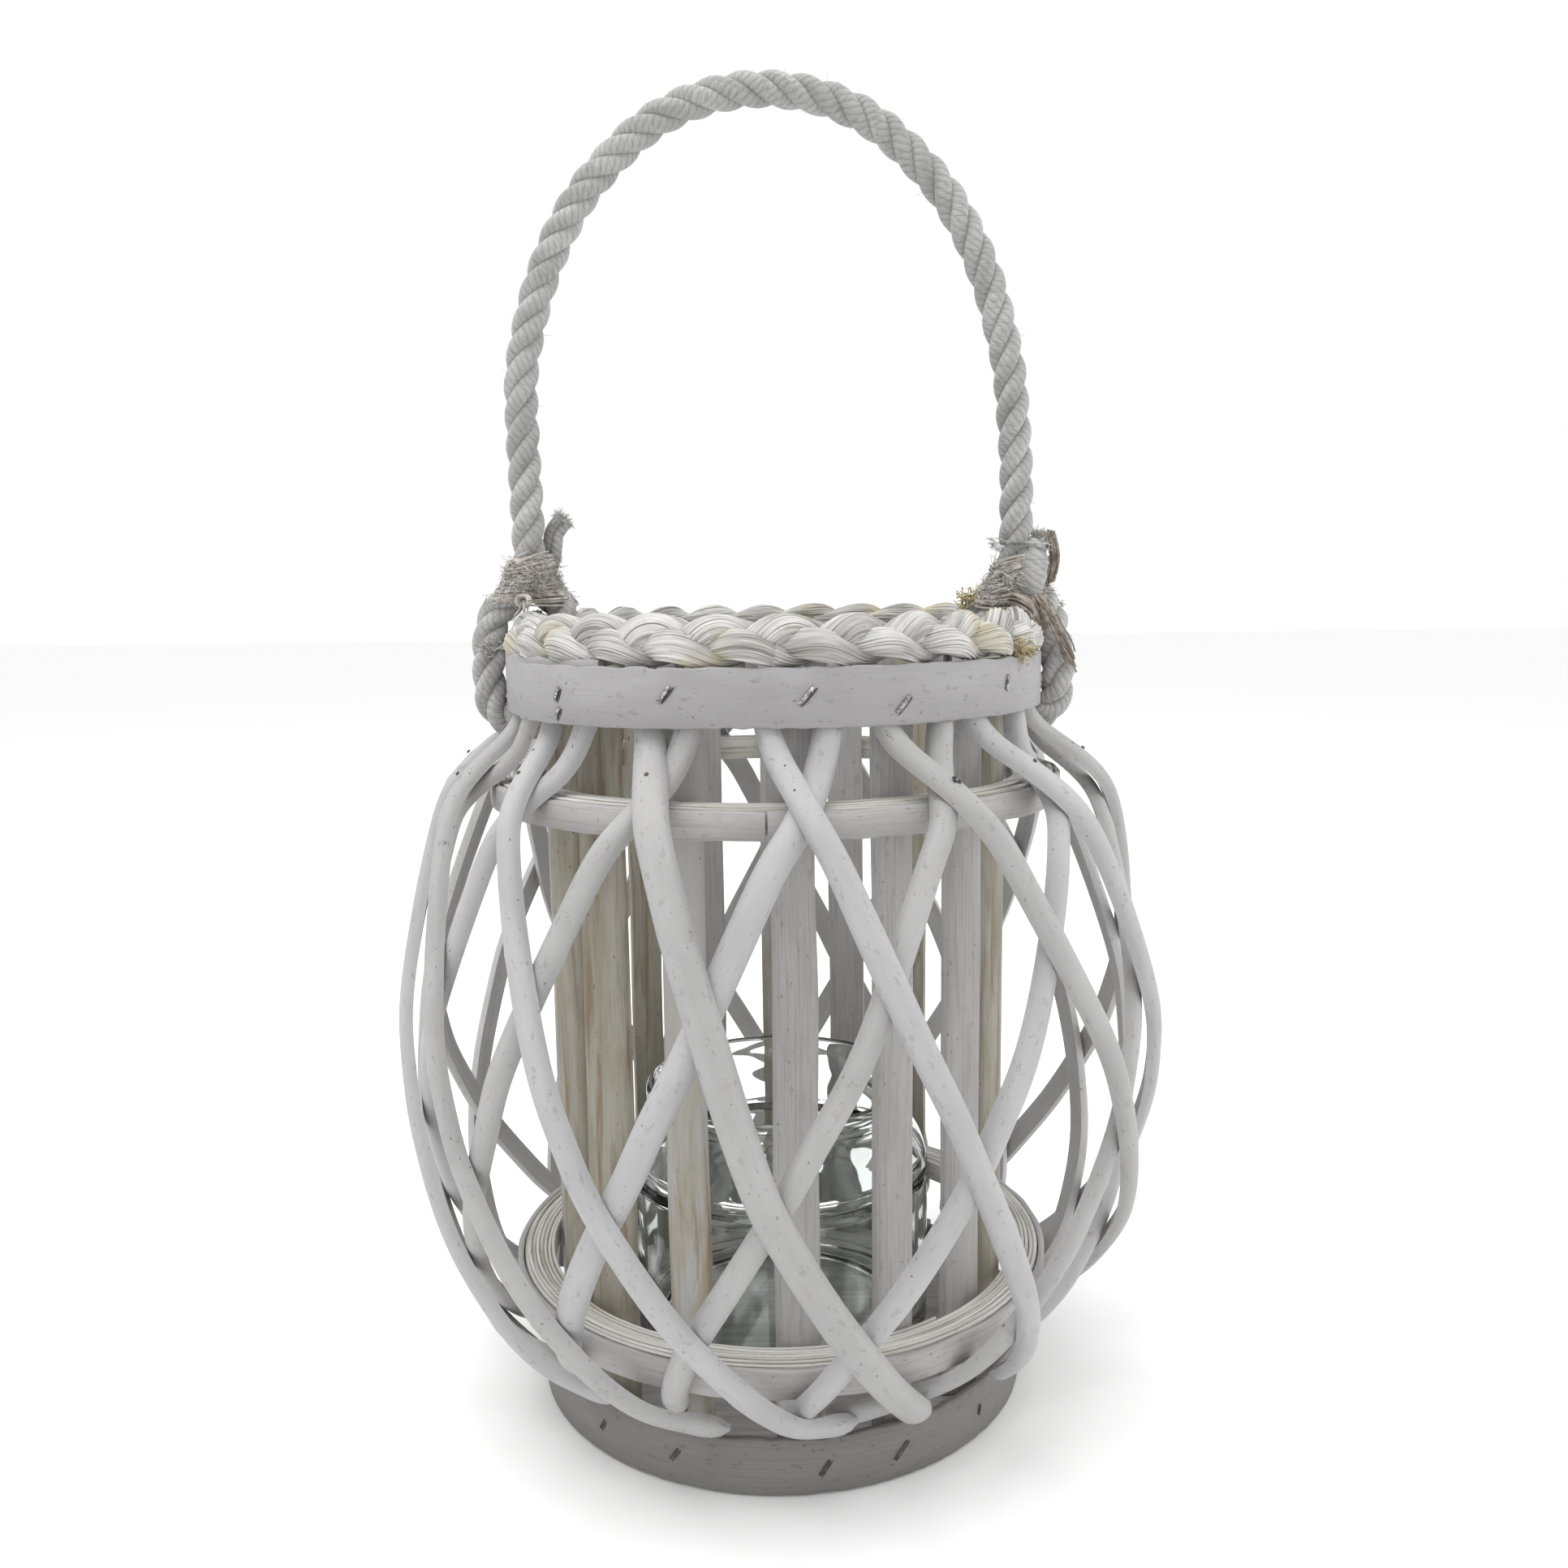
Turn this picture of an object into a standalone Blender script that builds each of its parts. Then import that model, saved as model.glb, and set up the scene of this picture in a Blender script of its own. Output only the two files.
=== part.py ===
"""Wicker hurricane lantern: whitewashed willow lattice on upright slats, with a rope handle and a glass jar.

Units are metres, +Z is up and -Y is the front. Azimuths are degrees from the front, positive towards +X.
Run with: blender --background --python part.py
"""

import math

import bmesh
import bpy
from mathutils import Vector

MM = 0.001
GAP = 0.3  # clearance between touching pieces, mm

# Hoops and bands, mm: outer radius, wall or inner radius, and heights.
TOP_BAND = {"outer": 82.0, "thick": 2.4, "low": 216.3, "high": 232.2, "seam": -40.0, "lap": 27.0}
FOOT_BAND = {"outer": 77.7, "thick": 2.2, "low": 0.0, "high": 16.9, "seam": 160.0, "lap": 24.0}
LAP_RAMP = 30.0  # degrees over which a strip climbs onto its own start
MIDDLE_SPLINTS = {"inner": 73.4, "outer": 85.9, "low": 189.0, "high": 197.4}
MIDDLE_STRIP = {"inner": 86.2, "outer": 88.1, "low": 188.2, "high": 196.0}
BOTTOM_SPLINTS = {"inner": 73.4, "outer": 83.2, "low": 35.4, "high": 43.2}
BOTTOM_STRIP = {"inner": 83.5, "outer": 85.6, "low": 33.6, "high": 42.4}

# Upright slats, mm and degrees.
SLAT_WIDTH = 12.8
SLAT_THICK = 4.0
SLAT_OUTER = 73.0
SLAT_HIGH = 231.0
SLAT_AZIMUTHS = (-66, -46, -21.5, 4, 27.5, 51, 69, 94, 115, 137, 159, 180, 202, 223, 245, 266)

# Lattice canes. The belly is the outer face of the outer layer, as (radius, height) in mm, top to bottom.
BELLY = (
    (79.1, 230.5), (79.1, 222.0), (79.3, 216.5), (83.6, 211.0), (93.2, 204.0), (102.8, 194.5), (107.2, 184.0),
    (113.0, 160.0), (118.6, 130.0), (118.8, 112.0), (117.7, 95.0), (112.2, 65.0), (102.2, 41.0), (96.5, 32.0),
    (89.0, 23.5), (83.0, 18.6),
)
SWEEP_AT = (  # share of a cane's sweep that is done at each height
    (230.5, 0.0), (214.0, 0.0), (204.0, 0.09), (195.0, 0.15), (185.0, 0.21), (160.0, 0.32), (130.0, 0.44),
    (100.0, 0.56), (65.0, 0.735), (40.0, 0.87), (25.0, 0.96), (18.6, 1.0),
)
CANE_THICK = 4.2
LAYER_PITCH = CANE_THICK + 0.45
LAYERS_MEET = 216.5  # above this height both layers share one radius, mm
LAYERS_PART = 206.0
LEAN_OUT = 0.8  # the belly stands this much further out at +X than at the front, mm
CANE_STATIONS = 17
BOW_PEAK = 6.75  # makes share**2 * (1 - share) peak at 1
# Each cane: azimuth of its top, sweep, width in mm, and how far it bows towards -X on its way down, in degrees.
# Outer ones run towards +X as they go down, inner ones towards -X.
OUTER_CANES = (
    (-75, 57, 7.4, 6.0), (-54, 62, 7.0, 4.5), (-26, 54, 9.2, 5.5), (-2, 52, 7.2, 0.0), (21, 65, 7.2, 0.0),
    (44, 60, 7.6, 0.0), (73, 60, 8.0, 0.0), (106, 62, 7.2, 0.0), (132, 60, 7.6, 0.0), (159, 63, 7.0, 0.0),
    (185, 60, 7.8, 0.0), (211, 61, 7.2, 0.0), (238, 60, 7.6, 2.0), (264, 55, 7.2, 4.0),
)
INNER_CANES = (
    (-62, 60, 7.2, 0.0), (-39.5, 53.5, 7.2, 0.0), (-15.5, 56.5, 7.4, 0.0), (12, 59, 8.2, 0.0),
    (37, 60, 7.2, 3.5), (65, 69, 7.4, 3.5), (96, 60, 7.6, 0.0), (122, 61, 7.0, 0.0), (148, 62, 7.6, 0.0),
    (175, 60, 7.2, 0.0), (201, 62, 7.6, 0.0), (228, 60, 7.2, 0.0), (254, 60, 7.4, 0.0),
)

# Base board and jar, mm.
BOARD = {"radius": 75.1, "low": 5.0, "high": 11.0}
JAR_FLOOR = BOARD["high"] + GAP
JAR_PROFILE = (
    (0.0, 5.2), (41.0, 5.2), (44.2, 7.0), (45.2, 10.0), (45.2, 55.0), (44.0, 59.0), (41.8, 63.0), (39.4, 67.0),
    (38.9, 70.5), (39.0, 81.6), (39.8, 83.0), (41.8, 83.0), (43.1, 81.6), (43.1, 78.2), (41.9, 76.6),
    (41.8, 72.2), (43.6, 68.0), (46.2, 62.6), (47.6, 58.0), (48.0, 54.0), (48.0, 5.0), (46.6, 1.6), (43.0, 0.0),
    (0.0, 0.0),
)

# Braided rim and rope, mm.
RIM_RADIUS = 75.9
RIM_HALF = (6.0, 6.5)
RIM_HEIGHT = TOP_BAND["high"] + GAP + RIM_HALF[1]
ROPE_RADIUS = 5.0
PIVOT_HEIGHT = 270.0
ARCH = ((75.0, 270.0), (75.1, 285.0), (74.8, 300.0), (73.8, 316.0), (70.9, 330.0), (66.6, 344.0), (60.2, 358.0),
        (50.6, 372.0), (34.5, 386.8), (18.0, 394.6), (0.0, 397.3))
ARCH_LEAN = {"shift": -1.6, "from": 275.0, "to": 325.0}  # the upper arch sits a little to the left
UNDER_BAND = ((87.4, 222.0), (87.2, 217.0), (85.8, 213.0), (82.4, 210.8), (78.0, 210.4), (73.5, 210.8),
              (69.0, 212.3), (65.3, 216.0), (63.8, 222.0))  # the loop's turn, from outside the band to inside
LOOP_FORWARD = 7.5  # the loop passes under the band this far in front of the handle's plane
TAIL_BEHIND = 8.7  # at the lashing, the rope's cut end lies this far behind its standing part
LEG_OUTSIDE = ((87.5, 232.0), (87.4, 239.5), (85.4, 245.3), (81.2, 249.4))
LEG_INSIDE = ((63.9, 232.0), (64.2, 239.5), (66.1, 245.3), (69.6, 249.2))
STANDING_OUTSIDE = ((77.2, 253.3), (75.8, 257.8), (75.1, 261.0), (75.0, 263.5))
STANDING_INSIDE = ((73.0, 253.5), (74.3, 257.8), (74.9, 261.0), (75.0, 263.5))
END_INSIDE = ((71.2, 253.5), (70.4, 257.5), (69.3, 260.2))
END_OUTSIDE = ((79.2, 253.5), (79.8, 257.5), (80.7, 260.2))
TAIL_INSIDE = ((66.6, 262.2), (66.0, 265.5), (65.6, 269.0), (63.0, 273.5))
TAIL_OUTSIDE = ((83.4, 262.2), (84.0, 265.0), (84.3, 268.0), (84.6, 271.0))
TAIL_RADII = (0.72, 0.72, 0.72, 0.70, 0.66, 0.60)
WHIPPING = {"low": 253.4, "high": 261.4, "wall": 1.3, "slack": 2.0}


def set_material(obj, name, colour, roughness, metallic=0.0, transmission=0.0):
    material = bpy.data.materials.get(name) or bpy.data.materials.new(name)
    material.use_nodes = True
    shader = material.node_tree.nodes["Principled BSDF"]
    shader.inputs["Base Color"].default_value = (*colour, 1.0)
    shader.inputs["Roughness"].default_value = roughness
    shader.inputs["Metallic"].default_value = metallic
    shader.inputs["Transmission Weight"].default_value = transmission
    obj.data.materials.clear()
    obj.data.materials.append(material)


def whitewash(obj):
    set_material(obj, "whitewashed_willow", (0.72, 0.71, 0.72), 0.75)


def rope_white(obj):
    set_material(obj, "cotton_rope", (0.60, 0.58, 0.56), 0.95)


def new_collection(name):
    collection = bpy.data.collections.new(name)
    bpy.context.scene.collection.children.link(collection)
    return collection


def place(obj, collection, parent):
    for owner in list(obj.users_collection):
        owner.objects.unlink(obj)
    collection.objects.link(obj)
    obj.parent = parent
    return obj


def around(radius, azimuth, height):
    """A point in metres, from a radius and a height in mm and an azimuth in degrees."""
    angle = math.radians(azimuth)
    return Vector((radius * math.sin(angle), -radius * math.cos(angle), height)) * MM


def ease(low, high, value):
    share = min(max((value - low) / (high - low), 0.0), 1.0)
    return share * share * (3.0 - 2.0 * share)


def catmull_rom(points, per_span):
    """A smooth curve through the points, with per_span steps in each span."""
    points = [Vector(point) for point in points]
    padded = [2 * points[0] - points[1], *points, 2 * points[-1] - points[-2]]
    curve = []
    for a, b, c, d in zip(padded, padded[1:], padded[2:], padded[3:]):
        for step in range(per_span):
            t = step / per_span
            curve.append(
                0.5 * (2 * b + (c - a) * t + (2 * a - 5 * b + 4 * c - d) * t**2 + (3 * b - a - 3 * c + d) * t**3)
            )
    return [*curve, points[-1]]


def evenly(points, count):
    """The same polyline with count points, spaced evenly along it."""
    lengths = [0.0]
    for first, second in zip(points, points[1:]):
        lengths.append(lengths[-1] + (second - first).length)
    result = []
    index = 0
    for step in range(count):
        target = lengths[-1] * step / (count - 1)
        while index < len(points) - 2 and lengths[index + 1] < target:
            index += 1
        share = (target - lengths[index]) / (lengths[index + 1] - lengths[index])
        result.append(points[index].lerp(points[index + 1], share))
    return result


def interpolate(table, value):
    """Linear interpolation in a table whose keys fall."""
    for (high, first), (low, second) in zip(table, table[1:]):
        if value >= low:
            return first + (second - first) * (high - value) / (high - low)
    return table[-1][1]


def loft(name, sections, closed_path=False):
    """One closed skin through sections that have the same number of points."""
    mesh = bmesh.new()
    rows = [[mesh.verts.new(point) for point in section] for section in sections]
    pairs = list(zip(rows, rows[1:]))
    if closed_path:
        pairs.append((rows[-1], rows[0]))
    for row, following in pairs:
        for i in range(len(row)):
            j = (i + 1) % len(row)
            mesh.faces.new((row[i], row[j], following[j], following[i]))
    if not closed_path:
        mesh.faces.new(rows[0])
        mesh.faces.new(rows[-1])
    bmesh.ops.recalc_face_normals(mesh, faces=mesh.faces)
    data = bpy.data.meshes.new(name)
    mesh.to_mesh(data)
    mesh.free()
    data.shade_smooth()
    data.set_sharp_from_angle(angle=math.radians(40))
    return bpy.data.objects.new(name, data)


def turned(name, profile, steps, height=0.0, closed=True):
    """A ring or a vessel from a profile in mm, with a Screw modifier."""
    data = bpy.data.meshes.new(name)
    edges = [(i, i + 1) for i in range(len(profile) - 1)]
    if closed:
        edges.append((len(profile) - 1, 0))
    data.from_pydata([(radius * MM, 0.0, up * MM) for radius, up in profile], edges, [])
    obj = bpy.data.objects.new(name, data)
    obj.location.z = height * MM
    screw = obj.modifiers.new("turn", "SCREW")
    screw.steps = steps
    screw.render_steps = steps
    screw.use_merge_vertices = True
    screw.merge_threshold = 0.00002
    screw.use_smooth_shade = False
    return obj


def ring(name, size):
    """A flat hoop."""
    inner, outer, low, high = size["inner"], size["outer"], size["low"], size["high"]
    return turned(name, ((inner, high), (outer, high), (outer, low), (inner, low)), 56)


def lapped_band(name, size, stations):
    """A strip bent into a ring, whose end climbs over its own start."""
    sections = []
    total = 360.0 + size["lap"]
    for station in range(stations):
        turned_by = total * station / (stations - 1)
        climb = ease(360.0 - LAP_RAMP, 360.0, turned_by) * (size["thick"] + GAP)
        outer = size["outer"] + climb
        inner = outer - size["thick"]
        azimuth = size["seam"] - turned_by
        corners = ((inner, size["low"]), (outer, size["low"]), (outer, size["high"]), (inner, size["high"]))
        sections.append([around(radius, azimuth, height) for radius, height in corners])
    return loft(name, sections)


def slat_outline():
    """The half-round section of an upright slat as a 2D curve, extruded to its length."""
    curve = bpy.data.curves.new("upright_slat", "CURVE")
    curve.dimensions = "2D"
    curve.fill_mode = "BOTH"
    curve.extrude = (SLAT_HIGH - BOARD["high"] - GAP) / 2 * MM
    half, thick = SLAT_WIDTH / 2, SLAT_THICK
    outline = ((-half, 0.0), (-half, -0.45 * thick), (-0.62 * half, -0.88 * thick), (0.0, -thick),
               (0.62 * half, -0.88 * thick), (half, -0.45 * thick), (half, 0.0))
    spline = curve.splines.new("POLY")
    spline.points.add(len(outline) - 1)
    for point, (x, y) in zip(spline.points, outline):
        point.co = (x * MM, y * MM, 0.0, 1.0)
    spline.use_cyclic_u = True
    return curve


def build_slats(collection, root):
    curve = slat_outline()
    low = BOARD["high"] + GAP
    for number, azimuth in enumerate(SLAT_AZIMUTHS, 1):
        slat = place(bpy.data.objects.new(f"upright_slat_{number:02d}", curve), collection, root)
        slat.location = around(SLAT_OUTER - SLAT_THICK, azimuth, (low + SLAT_HIGH) / 2)
        slat.rotation_euler.z = math.radians(azimuth)
        whitewash(slat)


def cane_frames(top, sweep, bow, inner_layer):
    """Points along a cane on the belly's outer face, each with its outward normal."""
    belly = evenly(catmull_rom([(radius, height, 0.0) for radius, height in BELLY], 6), 97)
    frames = []
    for station in range(CANE_STATIONS):
        index = round(station * (len(belly) - 1) / (CANE_STATIONS - 1))
        here = belly[index]
        before, after = belly[max(index - 1, 0)], belly[min(index + 1, len(belly) - 1)]
        along = (after - before).normalized()
        normal = Vector((-along.y, along.x))
        depth = ease(-LAYERS_MEET, -LAYERS_PART, -here.y) * LAYER_PITCH if inner_layer else 0.0
        share = interpolate(SWEEP_AT, here.y)
        azimuth = top + sweep * share - bow * BOW_PEAK * share**2 * (1.0 - share)
        out = LEAN_OUT * math.sin(math.radians(azimuth)) * ease(-216.0, -170.0, -here.y) * ease(18.0, 70.0, here.y)
        radius = here.x - depth * normal.x + out
        height = here.y - depth * normal.y
        angle = math.radians(azimuth)
        outward = Vector((normal.x * math.sin(angle), -normal.x * math.cos(angle), normal.y))
        frames.append((around(radius, azimuth, height), outward))
    return frames


def cane(name, top, sweep, width, bow, inner_layer):
    """A half-round cane: round side out, flat split side in."""
    frames = cane_frames(top, sweep, bow, inner_layer)
    half = width / 2
    section = ((-0.94 * half, -CANE_THICK), (0.94 * half, -CANE_THICK), (half, -0.56 * CANE_THICK),
               (0.5 * half, -0.08 * CANE_THICK), (-0.5 * half, -0.08 * CANE_THICK), (-half, -0.56 * CANE_THICK))
    sections = []
    for index, (point, outward) in enumerate(frames):
        along = (frames[min(index + 1, len(frames) - 1)][0] - frames[max(index - 1, 0)][0]).normalized()
        across = along.cross(outward).normalized()
        outward = across.cross(along).normalized()
        sections.append([point + (across * side + outward * up) * MM for side, up in section])
    return loft(name, sections)


def build_canes(collection, root):
    for layer, canes, direction in (("outer", OUTER_CANES, 1), ("inner", INNER_CANES, -1)):
        for number, (top, sweep, width, bow) in enumerate(canes, 1):
            name = f"lattice_cane_{layer}_{number:02d}"
            made = cane(name, top, direction * sweep, width, bow, layer == "inner")
            whitewash(place(made, collection, root))


def build_hoops(collection, root):
    hoops = (
        lapped_band("top_band", TOP_BAND, 66),
        lapped_band("foot_band", FOOT_BAND, 66),
        ring("middle_hoop_splints", MIDDLE_SPLINTS),
        ring("middle_hoop_strip", MIDDLE_STRIP),
        ring("bottom_hoop_splints", BOTTOM_SPLINTS),
        ring("bottom_hoop_strip", BOTTOM_STRIP),
    )
    for hoop in hoops:
        whitewash(place(hoop, collection, root))


def build_board(collection, root):
    depth = (BOARD["high"] - BOARD["low"]) * MM
    bpy.ops.mesh.primitive_cylinder_add(vertices=48, radius=BOARD["radius"] * MM, depth=depth)
    board = bpy.context.active_object
    board.name = "base_board"
    board.location.z = (BOARD["high"] + BOARD["low"]) / 2 * MM
    bevel = board.modifiers.new("eased_edges", "BEVEL")
    bevel.width = 0.0005
    bevel.segments = 1
    place(board, collection, root)
    set_material(board, "painted_board", (0.74, 0.73, 0.72), 0.8)


def build_jar(collection, root):
    jar = place(turned("glass_jar", JAR_PROFILE, 40, JAR_FLOOR, closed=False), collection, root)
    set_material(jar, "pale_green_glass", (0.86, 0.93, 0.90), 0.03, transmission=1.0)


def build_rim(collection, root):
    radial, upright = RIM_HALF
    bpy.ops.mesh.primitive_torus_add(
        major_segments=52, minor_segments=8, major_radius=RIM_RADIUS * MM, minor_radius=radial * MM
    )
    rim = bpy.context.active_object
    rim.name = "braided_rim"
    rim.scale.z = upright / radial
    bpy.ops.object.transform_apply(location=False, rotation=False, scale=True)
    rim.location.z = RIM_HEIGHT * MM
    place(rim, collection, root)
    set_material(rim, "painted_straw", (0.80, 0.78, 0.74), 0.85)


def rope_tube(name, path, radii, origin, resolution=2):
    """A rope as a bevelled poly curve, with a radius at each point."""
    curve = bpy.data.curves.new(name, "CURVE")
    curve.dimensions = "3D"
    curve.bevel_depth = ROPE_RADIUS * MM
    curve.bevel_resolution = resolution
    curve.use_fill_caps = True
    spline = curve.splines.new("POLY")
    spline.points.add(len(path) - 1)
    for point, place_at, radius in zip(spline.points, path, radii):
        point.co = (*(place_at * MM - origin), 1.0)
        point.radius = radius
    obj = bpy.data.objects.new(name, curve)
    obj.location = origin
    return obj


def rounded_end_radii(path):
    """1 along the rope, falling to a ball's outline within one radius of each end."""
    lengths = [0.0]
    for first, second in zip(path, path[1:]):
        lengths.append(lengths[-1] + (second - first).length)
    radii = []
    for length in lengths:
        near = min(length, lengths[-1] - length, ROPE_RADIUS)
        radii.append(max(math.sqrt(1.0 - (1.0 - near / ROPE_RADIUS) ** 2), 0.06))
    return radii


def build_handle(collection, root):
    pivot = Vector((0.0, 0.0, PIVOT_HEIGHT)) * MM
    arch = []
    for x, z in [(-x, z) for x, z in ARCH] + [(x, z) for x, z in ARCH[-2::-1]]:
        lean = ARCH_LEAN["shift"] * ease(ARCH_LEAN["from"], ARCH_LEAN["to"], z)
        arch.append(Vector((x + lean, 0.0, z)))
    path = evenly(catmull_rom(arch, 6), 46)
    ball = [ROPE_RADIUS * share for share in (1.0, 0.92, 0.7, 0.38)]
    start = [Vector((path[0].x, 0.0, PIVOT_HEIGHT - drop)) for drop in ball]
    end = [Vector((path[-1].x, 0.0, PIVOT_HEIGHT - drop)) for drop in reversed(ball)]
    path = start + path + end
    handle = place(rope_tube("rope_handle", path, rounded_end_radii(path), pivot), collection, root)
    rope_white(handle)


def loop_path(side, standing, first_leg, second_leg, end):
    """From the lashing down one side of the band, under it and up the other, ending in the lashing."""
    turn = UNDER_BAND if first_leg is LEG_OUTSIDE else tuple(reversed(UNDER_BAND))
    path = []
    for points, behind in (
        ((*reversed(standing), *reversed(first_leg), *turn), 0.0),
        ((*second_leg, *end), TAIL_BEHIND),
    ):
        for x, z in points:
            back = -LOOP_FORWARD + (LOOP_FORWARD + behind) * ease(222.0, 250.0, z)
            path.append(Vector((side * x, back, z)))
    return evenly(catmull_rom(path, 4), 38)


def level_with(path, height):
    """Where a path that starts above a height first crosses it."""
    for first, second in zip(path, path[1:]):
        if second.z <= height:
            return first.lerp(second, (first.z - height) / (first.z - second.z))
    return path[-1]


def whipping(name, path):
    """A sleeve of twine round both legs of a loop, as a lofted tube wall."""
    low, high, wall = WHIPPING["low"], WHIPPING["high"], WHIPPING["wall"]
    rows = 5
    heights = [low + (high - low) * row / (rows - 1) for row in range(rows)]
    inner_rings, outer_rings = [], []
    for height in heights:
        first, last = level_with(path, height), level_with(path[::-1], height)
        middle = (first + last) / 2
        half_gap = (last - first) / 2
        half_gap.z = 0.0
        sideways = Vector((-half_gap.y, half_gap.x, 0.0)).normalized()
        bore = ROPE_RADIUS + WHIPPING["slack"]
        for rings, radius in ((inner_rings, bore), (outer_rings, bore + wall)):
            points = []
            for corner in range(16):
                angle = 2 * math.pi * corner / 16
                reach = half_gap.normalized() * radius * math.cos(angle) + sideways * radius * math.sin(angle)
                end = half_gap * math.copysign(1.0, math.cos(angle))
                points.append(Vector((middle.x, middle.y, height)) * MM + (end + reach) * MM)
            rings.append(points)
    return loft(name, [*outer_rings, *reversed(inner_rings)], closed_path=True)


def build_rope_ends(collection, root):
    ends = (
        ("left", -1, STANDING_OUTSIDE, LEG_OUTSIDE, LEG_INSIDE, END_INSIDE, TAIL_INSIDE),
        ("right", 1, STANDING_INSIDE, LEG_INSIDE, LEG_OUTSIDE, END_OUTSIDE, TAIL_OUTSIDE),
    )
    for side_name, side, standing, first_leg, second_leg, end, tail in ends:
        path = loop_path(side, standing, first_leg, second_leg, end)
        loop = rope_tube(f"rope_loop_{side_name}", path, [1.0] * len(path), Vector())
        rope_white(place(loop, collection, root))
        sleeve = place(whipping(f"whipping_{side_name}", path), collection, root)
        set_material(sleeve, "jute_twine", (0.45, 0.38, 0.32), 0.95)
        tail_path = evenly(catmull_rom([Vector((side * x, TAIL_BEHIND, z)) for x, z in tail], 4), len(TAIL_RADII))
        rope_white(place(rope_tube(f"rope_tail_{side_name}", tail_path, TAIL_RADII, Vector()), collection, root))


def main():
    for obj in list(bpy.data.objects):
        bpy.data.objects.remove(obj)
    collection = new_collection("hurricane_lantern")
    root = bpy.data.objects.new("lantern_origin", None)
    collection.objects.link(root)
    build_slats(collection, root)
    build_canes(collection, root)
    build_hoops(collection, root)
    build_board(collection, root)
    build_jar(collection, root)
    build_rim(collection, root)
    build_handle(collection, root)
    build_rope_ends(collection, root)


main()
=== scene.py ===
"""Wicker hurricane lantern: the visual model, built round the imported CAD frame.

Sizes are in mm unless a name ends in _M, and angles are in degrees.
An azimuth of 0 is the front, -Y, and 90 is +X.
"""

import math

import bpy
import numpy as np
from mathutils import Matrix


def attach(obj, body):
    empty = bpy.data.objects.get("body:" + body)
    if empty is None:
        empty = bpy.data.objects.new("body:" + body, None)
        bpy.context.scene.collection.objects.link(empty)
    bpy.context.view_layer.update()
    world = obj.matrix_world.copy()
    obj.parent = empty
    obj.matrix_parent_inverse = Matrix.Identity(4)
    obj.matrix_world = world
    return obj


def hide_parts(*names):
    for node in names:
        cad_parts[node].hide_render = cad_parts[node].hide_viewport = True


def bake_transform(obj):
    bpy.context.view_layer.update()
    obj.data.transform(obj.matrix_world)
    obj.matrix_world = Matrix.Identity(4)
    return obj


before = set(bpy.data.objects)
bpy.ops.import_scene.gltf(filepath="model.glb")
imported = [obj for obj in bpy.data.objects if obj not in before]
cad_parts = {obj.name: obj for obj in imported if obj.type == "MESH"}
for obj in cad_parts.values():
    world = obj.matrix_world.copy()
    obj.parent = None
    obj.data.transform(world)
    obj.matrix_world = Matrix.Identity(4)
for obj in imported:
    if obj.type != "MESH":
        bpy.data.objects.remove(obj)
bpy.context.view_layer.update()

MM = 0.001
BODY = "basket"
UV_SPAN = 100.0  # mm of surface in one unit of UV
CAP_UV = 0.003  # radius of a tube's end in UV

# The basket. Most of these repeat the CAD model; the top band's lap, and some canes, are set more finely.
TOP_BAND = {"outer": 82.0, "thick": 2.4, "low": 216.3, "high": 232.2, "seam": -34.0, "lap": 23.0,
            "start_higher": 1.6}
FOOT_BAND = {"outer": 77.7, "thick": 2.2, "low": 0.0, "high": 16.9, "seam": 160.0, "lap": 24.0}
MIDDLE_STRIP = {"outer": 88.1, "thick": 1.7, "low": 188.2, "high": 196.0, "seam": -1.4, "lap": 0.0}
BOTTOM_STRIP = {"outer": 85.6, "thick": 1.9, "low": 33.6, "high": 42.4, "seam": 170.0, "lap": 0.0}
MIDDLE_COIL = {"inner": 73.5, "outer": 85.9, "low": 189.4, "high": 197.0, "turns": 9}
BOTTOM_COIL = {"inner": 73.5, "outer": 83.3, "low": 35.6, "high": 43.2, "turns": 8}
SLAT_WIDTH = 12.8
SLAT_THICK = 4.0
SLAT_OUTER = 73.0
SLAT_SPAN = (11.3, 231.0)
SLAT_AZIMUTHS = (-66, -46, -21.5, 4, 27.5, 51, 69, 94, 115, 137, 159, 180, 202, 223, 245, 266)
BROWN_SLATS = (-66, -46, 69, 137, 223)
HALF_PAINTED_SLATS = (-21.5, 180)
SLAT_INSET = 0.15
TURNED_SLATS = {  # azimuth: turn towards the front, width, and how far it stands inwards of SLAT_OUTER
    -66: (17.0, 14.2, 2.2), -46: (19.0, 15.6, 2.6), 51: (-13.0, 14.6, 1.7), 69: (-10.0, 13.6, 1.3),
}
TOP_STAPLES = (  # azimuth, height, lean and length
    (-43, 224.6, 25, 4.4), (-43, 219.4, 28, 3.6), (-19.5, 225.3, 40, 5.6), (6.1, 224.9, 42, 6.8),
    (24.4, 221.8, 42, 6.4), (52, 225.4, 14, 4.4), (84, 223, 30, 6), (121, 225, 35, 6), (158, 223, 40, 6),
    (196, 225, 30, 6), (232, 223, 35, 6), (268, 225, 36, 6),
)
FOOT_STAPLES = (
    (-42.8, 9.3, 30, 4.4), (-23.3, 9.2, 35, 5.0), (8.7, 8.0, 34, 6.0), (25.7, 8.6, 42, 7.4),
    (48.9, 8.8, 12, 3.4), (88, 8, 40, 5), (125, 9, 35, 5), (162, 8, 40, 5), (205, 9, 44, 5), (246, 8, 38, 5),
    (285, 9, 42, 5),
)

LAP_CLIMB = (330.0, 360.0)  # how far round a band starts and ends climbing over its own start
STRIP_GAP = 0.4  # degrees left open where a strip without a lap meets its own start
HIGHER_UNTIL = (75.0, 30.0)  # start_higher fades in from the first of these to the second
COIL_START = 37.0  # azimuth

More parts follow.
